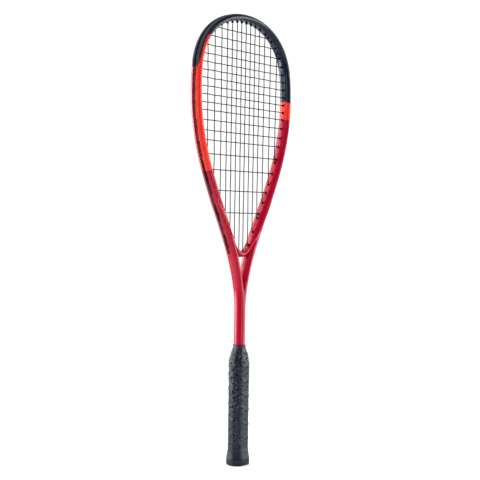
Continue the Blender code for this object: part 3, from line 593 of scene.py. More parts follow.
def foam_material():
    """Rigid foam with closed cells."""
    p = Paint("pallet_foam")
    where = p.place()
    cell = p.cells(900.0, 1.0, where)
    p.set(Base_Color=p.mix(cell, (0.42, 0.38, 0.30), (0.62, 0.58, 0.48)), Roughness=0.85)
    p.bump(cell, 0.5, 0.0002)
    return p.mat


def wire_material():
    """Drawn steel wire with lengthwise scratches."""
    p = Paint("staple_wire")
    where = p.place()
    stretch = p.node("ShaderNodeMapping", inputs={"Vector": where, "Scale": (1.0, 12.0, 12.0)})
    scratch = p.noise(500.0, 4.0, 0.6, stretch.outputs["Vector"])
    p.set(Base_Color=p.mix(scratch, (0.45, 0.45, 0.44), (0.66, 0.66, 0.64)), Metallic=1.0,
          Roughness=p.span(scratch, 0.2, 0.8, 0.25, 0.45))
    return p.mat


FRAME_PAINT = lacquer("frame_lacquer", True)
FRAME_SATIN = lacquer("frame_lacquer_satin", True, 0.03)
BRIDGE_PAINT = lacquer("bridge_lacquer", False)
# the groove colour is painted shade in the string groove and on the outer lips
BUMPER_NYLON = moulded("bumper_nylon", (0.0340, 0.0390, 0.0500), (0.0520, 0.0590, 0.0740), rough=(0.62, 0.76),
                       groove=(0.0100, 0.0122, 0.0170),
                       strength=0.15, gloss=0.03)
STRIP_NYLON = moulded("strip_nylon", (0.122, 0.0240, 0.0320), (0.188, 0.0380, 0.0500), rough=(0.70, 0.85),
                      gloss=0.03)
BARREL_NYLON = moulded("grommet_nylon", (0.0040, 0.0038, 0.0046), (0.0075, 0.0070, 0.0085), rough=(0.55, 0.70),
                       gloss=0.14)
CAP_PLASTIC = moulded("cap_plastic", (0.0038, 0.0058, 0.0115), (0.0078, 0.0110, 0.0195),
                      rough=(0.40, 0.52), grain=1800.0, depth=0.00006, gloss=0.24, glint=(0.78, 0.87, 1.0, 1.0))
MAIN_GUT = string_material("main_gut", (0.0034, 0.0034, 0.0040))
CROSS_GUT = string_material("cross_gut", (0.0036, 0.0036, 0.0042))
GRIP_PU = grip_material()
GRIP_HOLE = punched_material()
VINYL = tape_material()
FOAM = foam_material()
WIRE = wire_material()


# ==================================================================== frame
BRIDGE_CREST_Z = 322.3 * MM
BRIDGE_STEEP = 1.6
BRIDGE_BEND = 18.3 * MM
BRIDGE_REACH = 23.5 * MM
RIM_R = 1.0 * MM
RIM_PROUD = 0.85 * MM


def bridge_crest(x):
    """Height of the rim line: flat in the middle, then straight out over the arms."""
    return BRIDGE_CREST_Z + ((BRIDGE_STEEP * np.abs(x)) ** 3 + BRIDGE_BEND ** 3) ** (1 / 3) - BRIDGE_BEND


def crest_slope(x):
    return (bridge_crest(x + 0.05 * MM) - bridge_crest(x - 0.05 * MM)) / (0.1 * MM)


def tube_section(a, b, deep, slot=1.0):
    """(n, y) round the tube from the middle of the outside by +Y; n points out of the head."""
    lip = np.array([0.0, 1.0, 1.9, 2.45, 2.72, 2.84, 2.92, 2.98, 3.04, 3.10, 3.17, 3.27, 3.44, 3.72]) * MM
    wall = 1 - smooth01((lip - 2.80 * MM) / (0.52 * MM))
    lip = lip * slot
    n = rail(a, b, lip) - deep * wall
    first = math.asin((lip[-1] / b) ** (TUBE_POWER / 2))
    sweep = first + (math.pi - first) * np.linspace(0, 1, 42)[1:]
    on, oy = oval(a, b, sweep)
    n, y = np.concatenate([n, on]), np.concatenate([lip, oy])
    y[-1] = 0.0
    n = np.concatenate([n, n[-2:0:-1]])
    y = np.concatenate([y, -y[-2:0:-1]])
    return n, y


SLOT_END = 3.0 * MM


def slot_width(s):
    """Share of the channel's width: a rounded end, then the plain tube again."""
    t = (s - S_CHANNEL + SLOT_END) / SLOT_END
    if t <= 1.0 + 1e-6:
        return max(0.15, math.sqrt(max(0.0, 1 - max(0.0, t) ** 2)))
    return 0.15 + 0.85 * float(smooth01((s - S_CHANNEL) / (4.5 * MM)))


def leg_inset(s):
    """How much the inner side of a leg is pared away above the fork."""
    z = float(centre(s)[2])
    if s < S_ARM:
        return 0.0
    return float(np.interp(z / MM, [240.0, 256.0, 271.0, 286.0, 300.0, 313.0],
                           [0.0, 0.09, 0.17, 0.16, 0.10, 0.0]))


def build_frame():
    fine = [float(np.interp(-z * MM, -LINE[MARKS[0]:, 1], RUN[MARKS[0]:])) for z in (354.0, 320.0)]
    arm = np.linspace(0, S_THROAT, 214)
    arm = np.concatenate([arm[(arm < fine[0]) | (arm > fine[1])], np.arange(fine[0], fine[1], 0.45 * MM)])
    arm = arm[(arm < S_CHANNEL - SLOT_END - 0.2 * MM) | (arm > S_CHANNEL + 4.6 * MM)]
    slot = np.concatenate([S_CHANNEL - SLOT_END * (1 - np.sin(np.linspace(0, math.pi / 2, 11))),
                           S_CHANNEL + np.array([0.05, 0.5, 1.2, 2.1, 3.2, 4.4]) * MM])
    runs = np.concatenate([np.sort(np.concatenate([arm, slot])),
                           np.linspace(S_THROAT, S_FORK, 60)[1:],
                           np.linspace(S_FORK, S_END, 40)[1:]])
    rows, lean, rims = [], [], []
    for s in runs:
        a, b = (float(v) / 2 for v in tube(s))
        deep = CHANNEL_DEPTH if s < S_CHANNEL + 0.01 * MM else 0.0
        n, y = tube_section(a, b, deep, slot_width(s))
        lean.append(n / a)
        cut = leg_inset(s)
        row = at(np.full(len(n), s), n * (1 - cut) + a * cut, y)
        # the bead along the throat's rim line; its share is stored as "rim" for the painted rim highlight
        off = (row[:, 2] - bridge_crest(row[:, 0])) / np.hypot(1.0, crest_slope(row[:, 0]))
        bead = RIM_PROUD * np.exp(-(off / (0.75 * RIM_R)) ** 2) * smooth01((np.abs(y) / b - 0.5) / 0.3)
        bead = bead * (1 - smooth01((n / a - 0.55) / 0.4)) * smooth01((row[:, 0] - 14 * MM) / (4 * MM))
        row[:, 1] += np.sign(y) * bead
        rows.append(row)
        rims.append(bead / RIM_PROUD)
    rows[0][:, 0] = 0.0
    count = len(rows[0])
    bm = bmesh.new()
    run_layer = bm.verts.layers.float.new("run")
    lean_layer = bm.verts.layers.float.new("lean")
    rim_layer = bm.verts.layers.float.new("rim")
    verts = []
    for s, row, leans, glow in zip(runs, rows, lean, rims):
        line = []
        for p, q, g in zip(row, leans, glow):
            v = bm.verts.new(p)
            v[run_layer], v[lean_layer], v[rim_layer] = s, q, g
            line.append(v)
        verts.append(line)
    for a, b in zip(verts, verts[1:]):
        for j in range(count):
            k = (j + 1) % count
            bm.faces.new((a[j], b[j], b[k], a[k]))
    bm.faces.new(verts[-1])
    bmesh.ops.bisect_plane(bm, geom=bm.verts[:] + bm.edges[:] + bm.faces[:], dist=1e-7,
                           plane_co=(0, 0, 0), plane_no=(1, 0, 0), clear_inner=True)
    for v in bm.verts:
        if abs(v.co.x) < 2e-6:
            v.co.x = 0.0
    twin = bmesh.ops.duplicate(bm, geom=bm.verts[:] + bm.edges[:] + bm.faces[:])["geom"]
    for v in twin:
        if isinstance(v, bmesh.types.BMVert):
            v.co.x = -v.co.x
    bmesh.ops.reverse_faces(bm, faces=[f for f in twin if isinstance(f, bmesh.types.BMFace)])
    bmesh.ops.remove_doubles(bm, verts=[v for v in bm.verts if v.co.x == 0.0], dist=2e-6)
    # the two legs run into each other with a soft valley
    for _ in range(5):
        valley = [v for v in bm.verts if abs(v.co.x) < 1.6 * MM
                  and FORK_Z - 4 * MM < v.co.z < FORK_Z + 62 * MM]
        bmesh.ops.smooth_vert(bm, verts=valley, factor=0.5, use_axis_x=False, use_axis_y=True,
                              use_axis_z=False)
    bmesh.ops.recalc_face_normals(bm, faces=bm.faces)
    # the dark field and the right arm are satin on their outer side
    for f in bm.faces:
        q, s = (sum(v[layer] for v in f.verts) / len(f.verts) for layer in (lean_layer, run_layer))
        x = f.calc_center_median().x
        edge = 0.1 - 0.5 * float(smooth01((x - 34 * MM) / (26 * MM)))
        dark = s < (BLACK_END_RIGHT if x > 0 else BLACK_END_LEFT)
        f.material_index = int(q > edge and (dark or x > 34 * MM))
    me = bpy.data.meshes.new("racket_frame")
    bm.to_mesh(me)
    bm.free()
    me.materials.append(FRAME_PAINT)
    me.materials.append(FRAME_SATIN)
    me.shade_smooth()
    me.set_sharp_from_angle(angle=math.radians(55))
    ob = bpy.data.objects.new("racket_frame", me)
    bpy.context.scene.collection.objects.link(ob)
    return attach(ob, "frame")


build_frame()


# =========================================================== throat bridge
def bridge_swell(x):
    """How far the rounded top of the web stands above its rim line; hollow where it meets the arms."""
    out = np.abs(x) / MM
    return (3.7 - 1.7 * smooth01((out - 5.0) / 8.0) - 3.4 * smooth01((out - 12.0) / 7.0)) * MM


def bridge_top(x):
    return float(bridge_crest(x) + 0.7 * RIM_R + bridge_swell(x))


def build_bridge():
    """U-shaped web, oval with a fine rim along the front and back; its ends sink into the arms."""
    rim = -np.cos(np.linspace(math.acos(0.7), math.pi, 10)) * RIM_R
    rings, rims, painted_shade_below_rim = [], [], []
    for x in np.linspace(-BRIDGE_REACH, BRIDGE_REACH, 131):
        z, tilt = float(bridge_crest(x)), float(crest_slope(x))
        down = np.array([tilt, -1.0]) / math.hypot(tilt, 1.0)
        out = abs(x) / MM
        tall = min((z - BRIDGE_UNDERSIDE_Z) / -down[1], 9.0 * MM)
        web = (5.9 + 0.6 * min(1.0, out / 18.0) ** 2) * MM
        proud = RIM_PROUD * (1 - float(smooth01((out - 19.5) / 2.5)))
        swell = float(bridge_swell(x))
        half, glow = [], []
        for u in np.linspace(0, 1, 13)[:-1]:
            half.append((-0.7 * RIM_R - swell * (1 - u ** 2.3) ** 0.5, web * u))
            glow.append(0.0)
        # glow marks the upper rounding of the rim, where the lacquer paints its pink highlight
        for d in rim:
            bulge = math.sqrt(max(0.0, 1 - (d / RIM_R) ** 2))
            half.append((d, web - 0.10 * max(0.0, d) + proud * bulge))
            glow.append(bulge if d < 0.8 * RIM_R else 0.0)
        for step in (0.12, 0.3, 0.55, 0.8, 0.96):
            d = RIM_R + (tall - RIM_R) * step
            half.append((d, web - 0.10 * RIM_R - 0.45 * (d - RIM_R)))
            glow.append(0.0)
        low = half[-1][1]
        half += [(tall, low - 0.3 * MM), (tall, low * 0.5), (tall, 0.0)]
        glow += [0.0, 0.0, 0.0]
        loop = half + [(d, -y) for d, y in half[-2:0:-1]]
        rings.append([(x + down[0] * d, y, z + down[1] * d) for d, y in loop])
        rims += glow + glow[-2:0:-1]
        # painted shade below the rim line: faces more than about a millimetre under it are marked for darkening
        shade = [float(smooth01((d / MM - 0.6) / 0.5)) for d, _ in half]
        painted_shade_below_rim += shade + shade[-2:0:-1]
    soup = Soup()
    soup.rings(rings)
    v, f = soup.all()
    return piece("bridge_web", v, f, BRIDGE_PAINT, "throat_bridge", sharp=50,
                 layers={"rim": rims, "under": painted_shade_below_rim})


build_bridge()


# ================================================== bumper, strips, grommets
def barrel(soup, outer, inner, sides=16):
    """Tube of a grommet with a rounded mouth at its inner end."""
    outer, inner = np.asarray(outer, float), np.asarray(inner, float)
    axis = inner - outer
    length = np.linalg.norm(axis)
    axis /= length
    u = np.array([0.0, 1.0, 0.0])
    v = np.cross(axis, u)
    profile = [(0.0, BARREL_R), (length - 0.55 * MM, BARREL_R), (length - 0.25 * MM, BARREL_R - 0.05 * MM),
               (length - 0.05 * MM, BARREL_R - 0.20 * MM), (length, BARREL_R - 0.34 * MM),
               (length - 0.06 * MM, BORE_R + 0.12 * MM), (length - 0.3 * MM, BORE_R),
               (0.0, BORE_R)]
    ring = np.linspace(0, 2 * np.pi, sides, endpoint=False)
    rings = [outer + axis * h + r * (np.cos(ring)[:, None] * u + np.sin(ring)[:, None] * v)
             for h, r in profile]
    soup.rings(rings, wrap=True)


def floor_n(s):
    return half_width(s) - CHANNEL_DEPTH


def add_barrels(soup, low, high, sides):
    for (kind, k), s in sorted(HOLE.items(), key=lambda h: h[1]):
        if low < s <= high:
            for side in sides:
                barrel(soup, at(s, floor_n(s) + GAP + 0.2 * MM, 0.0, side),
                       at(s, -half_width(s) - BARREL_PROUD - longer(kind, k), 0.0, side))


def strip_section(s, scale):
    low = floor_n(s) + 0.12 * MM
    half = [(low, 0.0), (low, 2.50 * MM), (low + 0.15 * MM, STRIP_HALF), (low + 1.15 * MM, STRIP_HALF),
            (low + 1.30 * MM, 2.55 * MM), (low + 1.30 * MM, 2.38 * MM), (low + 1.15 * MM, 2.28 * MM),
            (low + 0.98 * MM, 2.20 * MM), (low + 0.88 * MM, 2.0 * MM), (low + 0.86 * MM, 1.6 * MM),
            (low + 0.86 * MM, 0.0)]
    half = [(n, y * scale) for n, y in half]
    return half + [(n, -y) for n, y in half[-2:0:-1]]


def strip_rings(section, runs, side, ends=True):
    rings = []
    for i, s in enumerate(runs):
        t = min((s - runs[0]) / (1.2 * MM), (runs[-1] - s) / (2.6 * MM)) if ends else 1.0
        scale = math.sqrt(max(0.0, 1 - (1 - min(1.0, t)) ** 2)) * 0.80 + 0.20 if t < 1 else 1.0
        n, y = np.array(section(s, scale)).T
        rings.append(at(np.full(len(n), s), n, y, side))
    return rings


def build_strip(name, node, side):
    body, tubes = Soup(), Soup()
    first, last = BUMPER_END + 0.6 * MM, S_CHANNEL - 0.35 * MM
    runs = np.concatenate([[first, first + 0.4 * MM, first + 0.8 * MM],
                           np.linspace(first + 1.2 * MM, last - 2.6 * MM, 130),
                           last - np.array([2.1, 1.6, 1.1, 0.7, 0.4, 0.2, 0.07, 0.0]) * MM])
    body.rings(strip_rings(strip_section, runs, side))
    add_barrels(tubes, BUMPER_END, S_THROAT, (side,))
    return two_tone(name, body, tubes, STRIP_NYLON, node)


def two_tone(name, body, tubes, mat, node):
    """One piece with a body and its tubes, each with its own material."""
    soup = Soup()
    soup.add(*body.all())
    first = len(soup.faces)
    soup.add(*tubes.all())
    v, f = soup.all()
    ob = piece(name, v, f, mat, node, sharp=42)
    ob.data.materials.append(BARREL_NYLON)
    index = np.zeros(len(ob.data.polygons), np.int32)
    index[first:] = 1
    ob.data.polygons.foreach_set("material_index", index)
    return ob


def bumper_section(s):
    """Saddle over the outside of the tube with a string groove along the middle."""
    a, b = (float(v) / 2 for v in tube(s))
    left = max(0.0, BUMPER_END - abs(s))
    ease = float(smooth01(np.array(left / (18.0 * MM))))
    half_w = 5.8 * MM + (BUMPER_HALF - 5.8 * MM) * ease
    rise = 0.35 * MM + (BUMPER_RISE - 0.35 * MM) * float(smooth01(np.array(left / (14.0 * MM))))
    low = a - CHANNEL_DEPTH + 0.15 * MM
    skin = lambda y, up: (float(rail(a, b, y)) + up, y)
    half = [(low - 0.03 * MM, 0.0), (low, 2.55 * MM), skin(2.6 * MM, 0.05 * MM), skin(3.4 * MM, 0.06 * MM)]
    for t in (0.35, 0.7, 1.0):
        half.append(skin(3.4 * MM + (half_w - 3.4 * MM) * t, 0.06 * MM))
    half += [skin(half_w + 0.10 * MM, 0.18 * rise), skin(half_w + 0.02 * MM, 0.42 * rise),
             skin(half_w - 0.28 * MM, 0.68 * rise)]
    for t in (0.75, 0.5, 0.25):
        y = 3.3 * MM + (half_w - 0.5 * MM - 3.3 * MM) * t
        half.append(skin(y, rise * (0.80 + 0.2 * (1 - t))))
    half += [skin(3.2 * MM, rise), skin(2.85 * MM, rise * 0.96), skin(2.6 * MM, rise * 0.70),
             (a - 0.2 * MM, 2.40 * MM), (low + 1.05 * MM, 2.15 * MM), (low + 0.86 * MM, 1.75 * MM),
             (low + 0.84 * MM, 0.0)]
    return half + [(n, -y) for n, y in half[-2:0:-1]]


def build_bumper():
    body, tubes = Soup(), Soup()
    arc = np.concatenate([np.linspace(0, BUMPER_END - 2 * MM, 92),
                          BUMPER_END - 2 * MM + 2 * MM * np.sin(np.linspace(0, math.pi / 2, 6))[1:]])
    rings = []
    for s, side in [(v, -1) for v in arc[:0:-1]] + [(v, 1) for v in arc]:
        n, y = np.array(bumper_section(s)).T
        t = min(1.0, (BUMPER_END - s) / (2 * MM))
        pinch = 0.45 + 0.55 * math.sqrt(max(0.0, 1 - (1 - t) ** 2))
        a = half_width(s)
        n = a - CHANNEL_DEPTH + (n - a + CHANNEL_DEPTH) * (0.6 + 0.4 * (pinch - 0.45) / 0.55)
        rings.append(at(np.full(len(n), s), n, y * pinch, side))
    body.rings(rings)
    add_barrels(tubes, -1.0, BUMPER_END, (1, -1))
    return two_tone("bumper_guard", body, tubes, BUMPER_NYLON, "head_bumper")


def build_bridge_grommets():
    body, tubes = Soup(), Soup()
    top = BRIDGE_UNDERSIDE_Z - 0.12 * MM
    rings = []
    for x in np.concatenate([[-8.0, -7.9, -7.6, -7.2], np.linspace(-6.6, 6.6, 15), [7.2, 7.6, 7.9, 8.0]]):
        t = (8.0 - abs(x)) / 0.8
        wide = 2.65 * MM * (0.55 + 0.45 * math.sqrt(max(0.0, 1 - (1 - min(1.0, t)) ** 2)))
        thick = 0.9 * MM
        ring = [(wide, 0.0), (wide, -0.55 * thick), (wide - 0.25 * MM, -thick), (wide * 0.5, -thick),
                (0.0, -thick), (-wide * 0.5, -thick), (-wide + 0.25 * MM, -thick), (-wide, -0.55 * thick),
                (-wide, 0.0), (0.0, 0.0)]
        rings.append([(x * MM, y, top + z) for y, z in ring])
    body.rings(rings)
    for x in (-MAIN_BRIDGE, MAIN_BRIDGE):
        barrel(tubes, (x, 0.0, top - 0.4 * MM), (x, 0.0, bridge_top(x) + BARREL_PROUD))
    return two_tone("bridge_eyelets", body, tubes, BARREL_NYLON, "bridge_grommets")


build_bumper()
build_strip("side_strip_left", "grommet_strip_left", -1)
build_strip("side_strip_right", "grommet_strip_right", 1)
build_bridge_grommets()


# ================================================================== strings
def loop_n(s):
    return floor_n(s) + 0.12 * MM + 0.86 * MM + STRING_R + 0.05 * MM


def outside_loop(sa, side_a, sb, side_b, offset):
    """Run in the outer groove from one grommet to the next."""
    a, b = sa * side_a, sb * side_b
    sign = 1 if b > a else -1
    stops = np.concatenate([[a + sign * 2.2 * MM],
                            np.linspace(a + sign * 4.0 * MM, b - sign * 4.0 * MM,
                                        max(2, int(abs(b - a) / (3 * MM)))),
                            [b - sign * 2.2 * MM]]) if abs(b - a) > 9 * MM else \
        np.array([a + sign * 2.2 * MM, b - sign * 2.2 * MM])
    return [at(abs(u), loop_n(abs(u)), offset, 1 if u >= 0 else -1) for u in stops]


def through(s, side, extra=0.0):
    return [at(s, loop_n(s), 0.0, side), at(s, floor_n(s), 0.0, side), mouth(s, side, extra)]


def main_ends(i):
    return (-1, 6 - i) if i < 7 else (1, i - 7)


BRIDGE_LOOP_Z = BRIDGE_UNDERSIDE_Z - 0.12 * MM - STRING_R


def main_low(i):
    side, k = main_ends(i)
    if k == 0:
        x = side * MAIN_BRIDGE
        return [np.array([x, 0, BRIDGE_LOOP_Z]), np.array([x, 0, BRIDGE_UNDERSIDE_Z]),
                np.array([x, 0, bridge_top(x) + BARREL_PROUD + 0.3 * MM])]
    return through(HOLE[("bottom", k)], side, longer("bottom", k))


def main_high(i):
    side, k = main_ends(i)
    return through(HOLE[("top", k)], side, longer("top", k))


def meets(i, j):
    """Where main i and cross j pass each other, or None."""
    high, low = main_high(i)[2], main_low(i)[2]
    z = mouth(HOLE[("cross", j)])[2]
    t = (z - high[2]) / (low[2] - high[2])
    reach = abs(mouth(HOLE[("cross", j)])[0])
    x = high[0] + (low[0] - high[0]) * t
    if not 0.004 < t < 0.996 or abs(x) > reach - 0.8 * MM:
        return None
    return np.array([x, 0.0, z])


MEET = {(i, j): meets(i, j) for i in range(14) for j in range(18)}


def main_path():
    pts = []
    side, k = main_ends(0)
    s = HOLE[("top", k)]
    pts += [at(s + 7 * MM, loop_n(s), LOOP_SIDE, side), at(s + 2.2 * MM, loop_n(s), LOOP_SIDE, side)]
    for i in range(14):
        run = list(main_high(i))
        for j in range(18):
            p = MEET[(i, j)]
            if p is not None:
                y = MAIN_WEAVE if (i + j) % 2 == 0 else -MAIN_WEAVE
                run += [p + (0, y, 0.9 * MM), p + (0, y, -0.9 * MM)]
        run += list(reversed(main_low(i)))
        pts += run if i % 2 == 0 else run[::-1]
        if i == 13:
            break
        (side_a, ka), (side_b, kb) = main_ends(i), main_ends(i + 1)
        end = "bottom" if i % 2 == 0 else "top"
        if end == "bottom" and not ka:
            pts += [np.array([x * MM, 0.0, BRIDGE_LOOP_Z]) for x in (-3.0, 0.0, 3.0)]
        else:
            pts += outside_loop(HOLE[(end, ka)], side_a, HOLE[(end, kb)], side_b, LOOP_SIDE)
    side, k = main_ends(13)
    s = HOLE[("top", k)]
    pts += [at(s + 2.2 * MM, loop_n(s), LOOP_SIDE, side), at(s + 7 * MM, loop_n(s), LOOP_SIDE, side)]
    return np.array(pts)


def cross_path():
    s = HOLE[("cross", 0)]
    pts = [at(s - 7 * MM, loop_n(s), -LOOP_SIDE, -1), at(s - 2.2 * MM, loop_n(s), -LOOP_SIDE, -1)]
    for j in range(18):
        s = HOLE[("cross", j)]
        run = list(through(s, -1))
        for i in range(14):
            p = MEET[(i, j)]
            if p is not None:
                y = -CROSS_WEAVE if (i + j) % 2 == 0 else CROSS_WEAVE
                run += [p + (-0.9 * MM, y, 0), p + (0.9 * MM, y, 0)]
        run += list(reversed(through(s, 1)))
        pts += run if j % 2 == 0 else run[::-1]
        if j < 17:
            side = 1 if j % 2 == 0 else -1
            pts += outside_loop(s, side, HOLE[("cross", j + 1)], side, -LOOP_SIDE)
    s = HOLE[("cross", 17)]
    pts += [at(s - 2.2 * MM, loop_n(s), -LOOP_SIDE, -1), at(s - 7 * MM, loop_n(s), -LOOP_SIDE, -1)]
    return np.array(pts)


def rounded(points, ease=1.3 * MM, steps=4):
    """Replaces each corner of a polyline by a short arc."""
    out = [points[0]]
    for a, b, c in zip(points, points[1:], points[2:]):
        la, lc = np.linalg.norm(b - a), np.linalg.norm(c - b)
        if la < 1e-7 or lc < 1e-7:
            continue
        ra, rc = min(ease, 0.46 * la), min(ease, 0.46 * lc)
        p, q = b + (a - b) / la * ra, b + (c - b) / lc * rc
        for t in np.linspace(0, 1, steps + 1):
            out.append((1 - t) ** 2 * p + 2 * t * (1 - t) * b + t * t * q)
    out.append(points[-1])
    return np.array(out)


def sweep(name, path, radius, mat, node, slot, sides=10):
    """Round cord along a path, closed at both ends."""
    tang = np.gradient(path, axis=0)
    tang /= np.linalg.norm(tang, axis=1)[:, None]
    ref = np.cross(tang[0], (0.0, 1.0, 0.0))
    ref /= np.linalg.norm(ref)
    ring = np.linspace(0, 2 * np.pi, sides, endpoint=False)
    run = np.concatenate([[0], np.cumsum(np.linalg.norm(np.diff(path, axis=0), axis=1))])
    rings = []
    for p, t in zip(path, tang):
        ref = ref - t * np.dot(ref, t)
        ref /= np.linalg.norm(ref)
        bi = np.cross(t, ref)
        rings.append(p + radius * (np.cos(ring)[:, None] * ref + np.sin(ring)[:, None] * bi))
    soup = Soup()
    soup.rings(rings)
    v, f = soup.all()
    return piece(name, v, f, mat, node, sharp=50,
                 layers={"run": np.repeat(run, sides), "turn": np.tile(np.arange(sides) / sides, len(path))})


sweep("gut_mains", rounded(main_path()), STRING_R, MAIN_GUT, "main_string", "string_black")
sweep("gut_crosses", rounded(cross_path()), STRING_R, CROSS_GUT, "cross_string", "string_black")


# =================================================================== handle
def grip_size(z):
    """Half widths and chamfer of the handle at a height."""
    z = np.asarray(z, float)
    flare = np.clip((GRIP_FLARE_Z - z) / (GRIP_FLARE_Z - GRIP_BOTTOM_Z), 0, 1.0) ** 2 * GRIP_FLARE
    near_top = np.clip((z - GRIP_FULL_Z) / (GRIP_TOP_Z - GRIP_FULL_Z), 0, 1) ** 1.8
    return ((GRIP_X + flare - GRIP_TAPER_X * near_top) / 2, (GRIP_Y + flare - GRIP_TAPER_Y * near_top) / 2,
            GRIP_CHAMFER + flare * 0.25 - GRIP_TAPER_CHAMFER * near_top)


def octagon_radius(angle, hx, hy, chamfer, power=22.0):
    """Distance from the axis to a rounded octagon, by direction."""
    slant = (hx + hy - chamfer) / math.sqrt(2)
    total = 0.0
    for k in range(8):
        d = (hx, slant, hy, slant)[k % 4]
        total = total + np.clip(np.cos(angle - k * math.pi / 4), 0, 1) ** power / d ** power
    return total ** (-1 / power)


WRAP_PITCH = 21.5 * MM
WRAP_START = 14.0 * MM
LAP = 0.45 * MM
ROW_PITCH = 6.2 * MM
HOLE_PITCH = 13.6 * MM
TREAD_Z = 84.0 * MM


def mottle(rng, shape, passes):
    """Smooth random field with zero mean and unit spread, endless round the handle."""
    field = rng.standard_normal(shape)
    for _ in range(passes):
        field = (np.roll(field, 1, 1) + 2 * field + np.roll(field, -1, 1)) / 4
        field[1:-1] = (field[:-2] + 2 * field[1:-1] + field[2:]) / 4
    return (field - field.mean()) / field.std()


def build_grip():
    around, tall = 236, 392
    rng = np.random.default_rng(11)
    ang = np.linspace(0, 2 * np.pi, around, endpoint=False)
    z = np.linspace(GRIP_BOTTOM_Z, GRIP_TOP_Z, tall)
    A, Z = np.meshgrid(ang, z)
    hx, hy, ch = grip_size(Z)
    flat = smooth01((GRIP_TOP_Z - Z) / (30 * MM)) * smooth01((Z - GRIP_BOTTOM_Z) / (20 * MM))
    base = octagon_radius(A, hx + 0.55 * MM * flat, hy - 0.65 * MM * flat, ch, 26.0)
    # the tape climbs clockwise seen from above; v runs up the handle from a lap edge
    v = Z - WRAP_START + WRAP_PITCH * A / (2 * np.pi)
    turn = np.floor(v / WRAP_PITCH)
    across = v - turn * WRAP_PITCH
    along = 15.0 * MM * (A + 2 * np.pi * -turn)
    wrapped = smooth01((Z - 15 * MM) / (8 * MM)) * smooth01((GRIP_TOP_Z - Z) / (6 * MM))
    lap = LAP * (1 - smooth01(across / (8.5 * MM))) * smooth01(across / (0.9 * MM))
    edge = np.exp(-(across / (0.7 * MM)) ** 2) + np.exp(-((across - WRAP_PITCH) / (0.7 * MM)) ** 2)
    # punched holes in staggered rows that follow the tape, each a little out of line
    row = np.round((across - 2.6 * MM) / ROW_PITCH)
    cell = along / HOLE_PITCH + np.where(np.mod(row, 2) == 0, 0.0, 0.5)
    key = np.round(cell) * 12.9898 + row * 78.233 + turn * 37.719
    stray = np.mod(np.sin(key) * 43758.5453, 1.0) - 0.5, np.mod(np.sin(key * 1.7) * 24634.6345, 1.0) - 0.5
    near = np.hypot(across - 2.6 * MM - row * ROW_PITCH - 1.1 * MM * stray[0],
                    (cell - np.round(cell)) * HOLE_PITCH - 1.4 * MM * stray[1])
    upper = 0.50 + 0.50 * smooth01((Z - TREAD_Z + 6 * MM) / (10 * MM))
    tread = smooth01((Z - 27 * MM) / (8 * MM)) * smooth01((GRIP_TOP_Z - 2 * MM - Z) / (3 * MM)) * upper
    size = (0.54 + 0.46 * upper) * MM
    hole = (1 - smooth01((near - size) / (0.40 * MM))) * smooth01(tread / 0.28)
    rim = np.exp(-((near - 1.62 * MM) / (0.36 * MM)) ** 2) * smooth01(tread / 0.28)
    pebble = mottle(rng, A.shape, 4)
    speck = mottle(rng, A.shape, 2)
    cloud = mottle(rng, A.shape, 24)
    r = base + (lap - 0.30 * MM) * wrapped + 0.22 * MM * rim - 1.00 * MM * hole
    r = r + (0.060 * pebble * (0.25 + 0.75 * tread) + 0.030 * cloud) * MM * wrapped
    r = np.minimum(r, base + 0.45 * MM)
    outer = np.stack([r * np.cos(A), r * np.sin(A), Z], -1)
    ix, iy, ic = grip_size(np.maximum(Z, GRIP_FLARE_Z))
    wall = np.interp(Z, [171.5 * MM, GRIP_TOP_Z], [1.75 * MM, 0.95 * MM])
    inner_r = octagon_radius(A, ix - wall, iy - wall, ic - 0.586 * wall, 60.0)
    inner_r = np.minimum(inner_r, r - 0.25 * MM)
    inner = np.stack([inner_r * np.cos(A), inner_r * np.sin(A), Z], -1)[::23]
    verts = np.concatenate([outer.reshape(-1, 3), inner[::-1].reshape(-1, 3)])
    faces = grid(tall + len(inner), around, wrap_rows=True)
    zeros = np.zeros(len(inner) * around)
    flat_list = lambda values: np.concatenate([values.reshape(-1), zeros])
    ob = piece("grip_wrap", verts, faces, GRIP_PU, "grip_tape", sharp=70,
               layers={"hole": flat_list(hole), "lap": flat_list(edge * wrapped),
                       "tread": flat_list(tread), "rim": flat_list(rim),
                       "speck": flat_list(speck), "cloud": flat_list(cloud)})
    ob.data.materials.append(GRIP_HOLE)
    deep = hole + np.roll(hole, -1, 1)
    index = np.zeros(len(ob.data.polygons), np.int32)
    index[:(tall - 1) * around] = (deep[:-1] + deep[1:] > 0.8).reshape(-1)
    ob.data.polygons.foreach_set("material_index", index)
    return ob


build_grip()


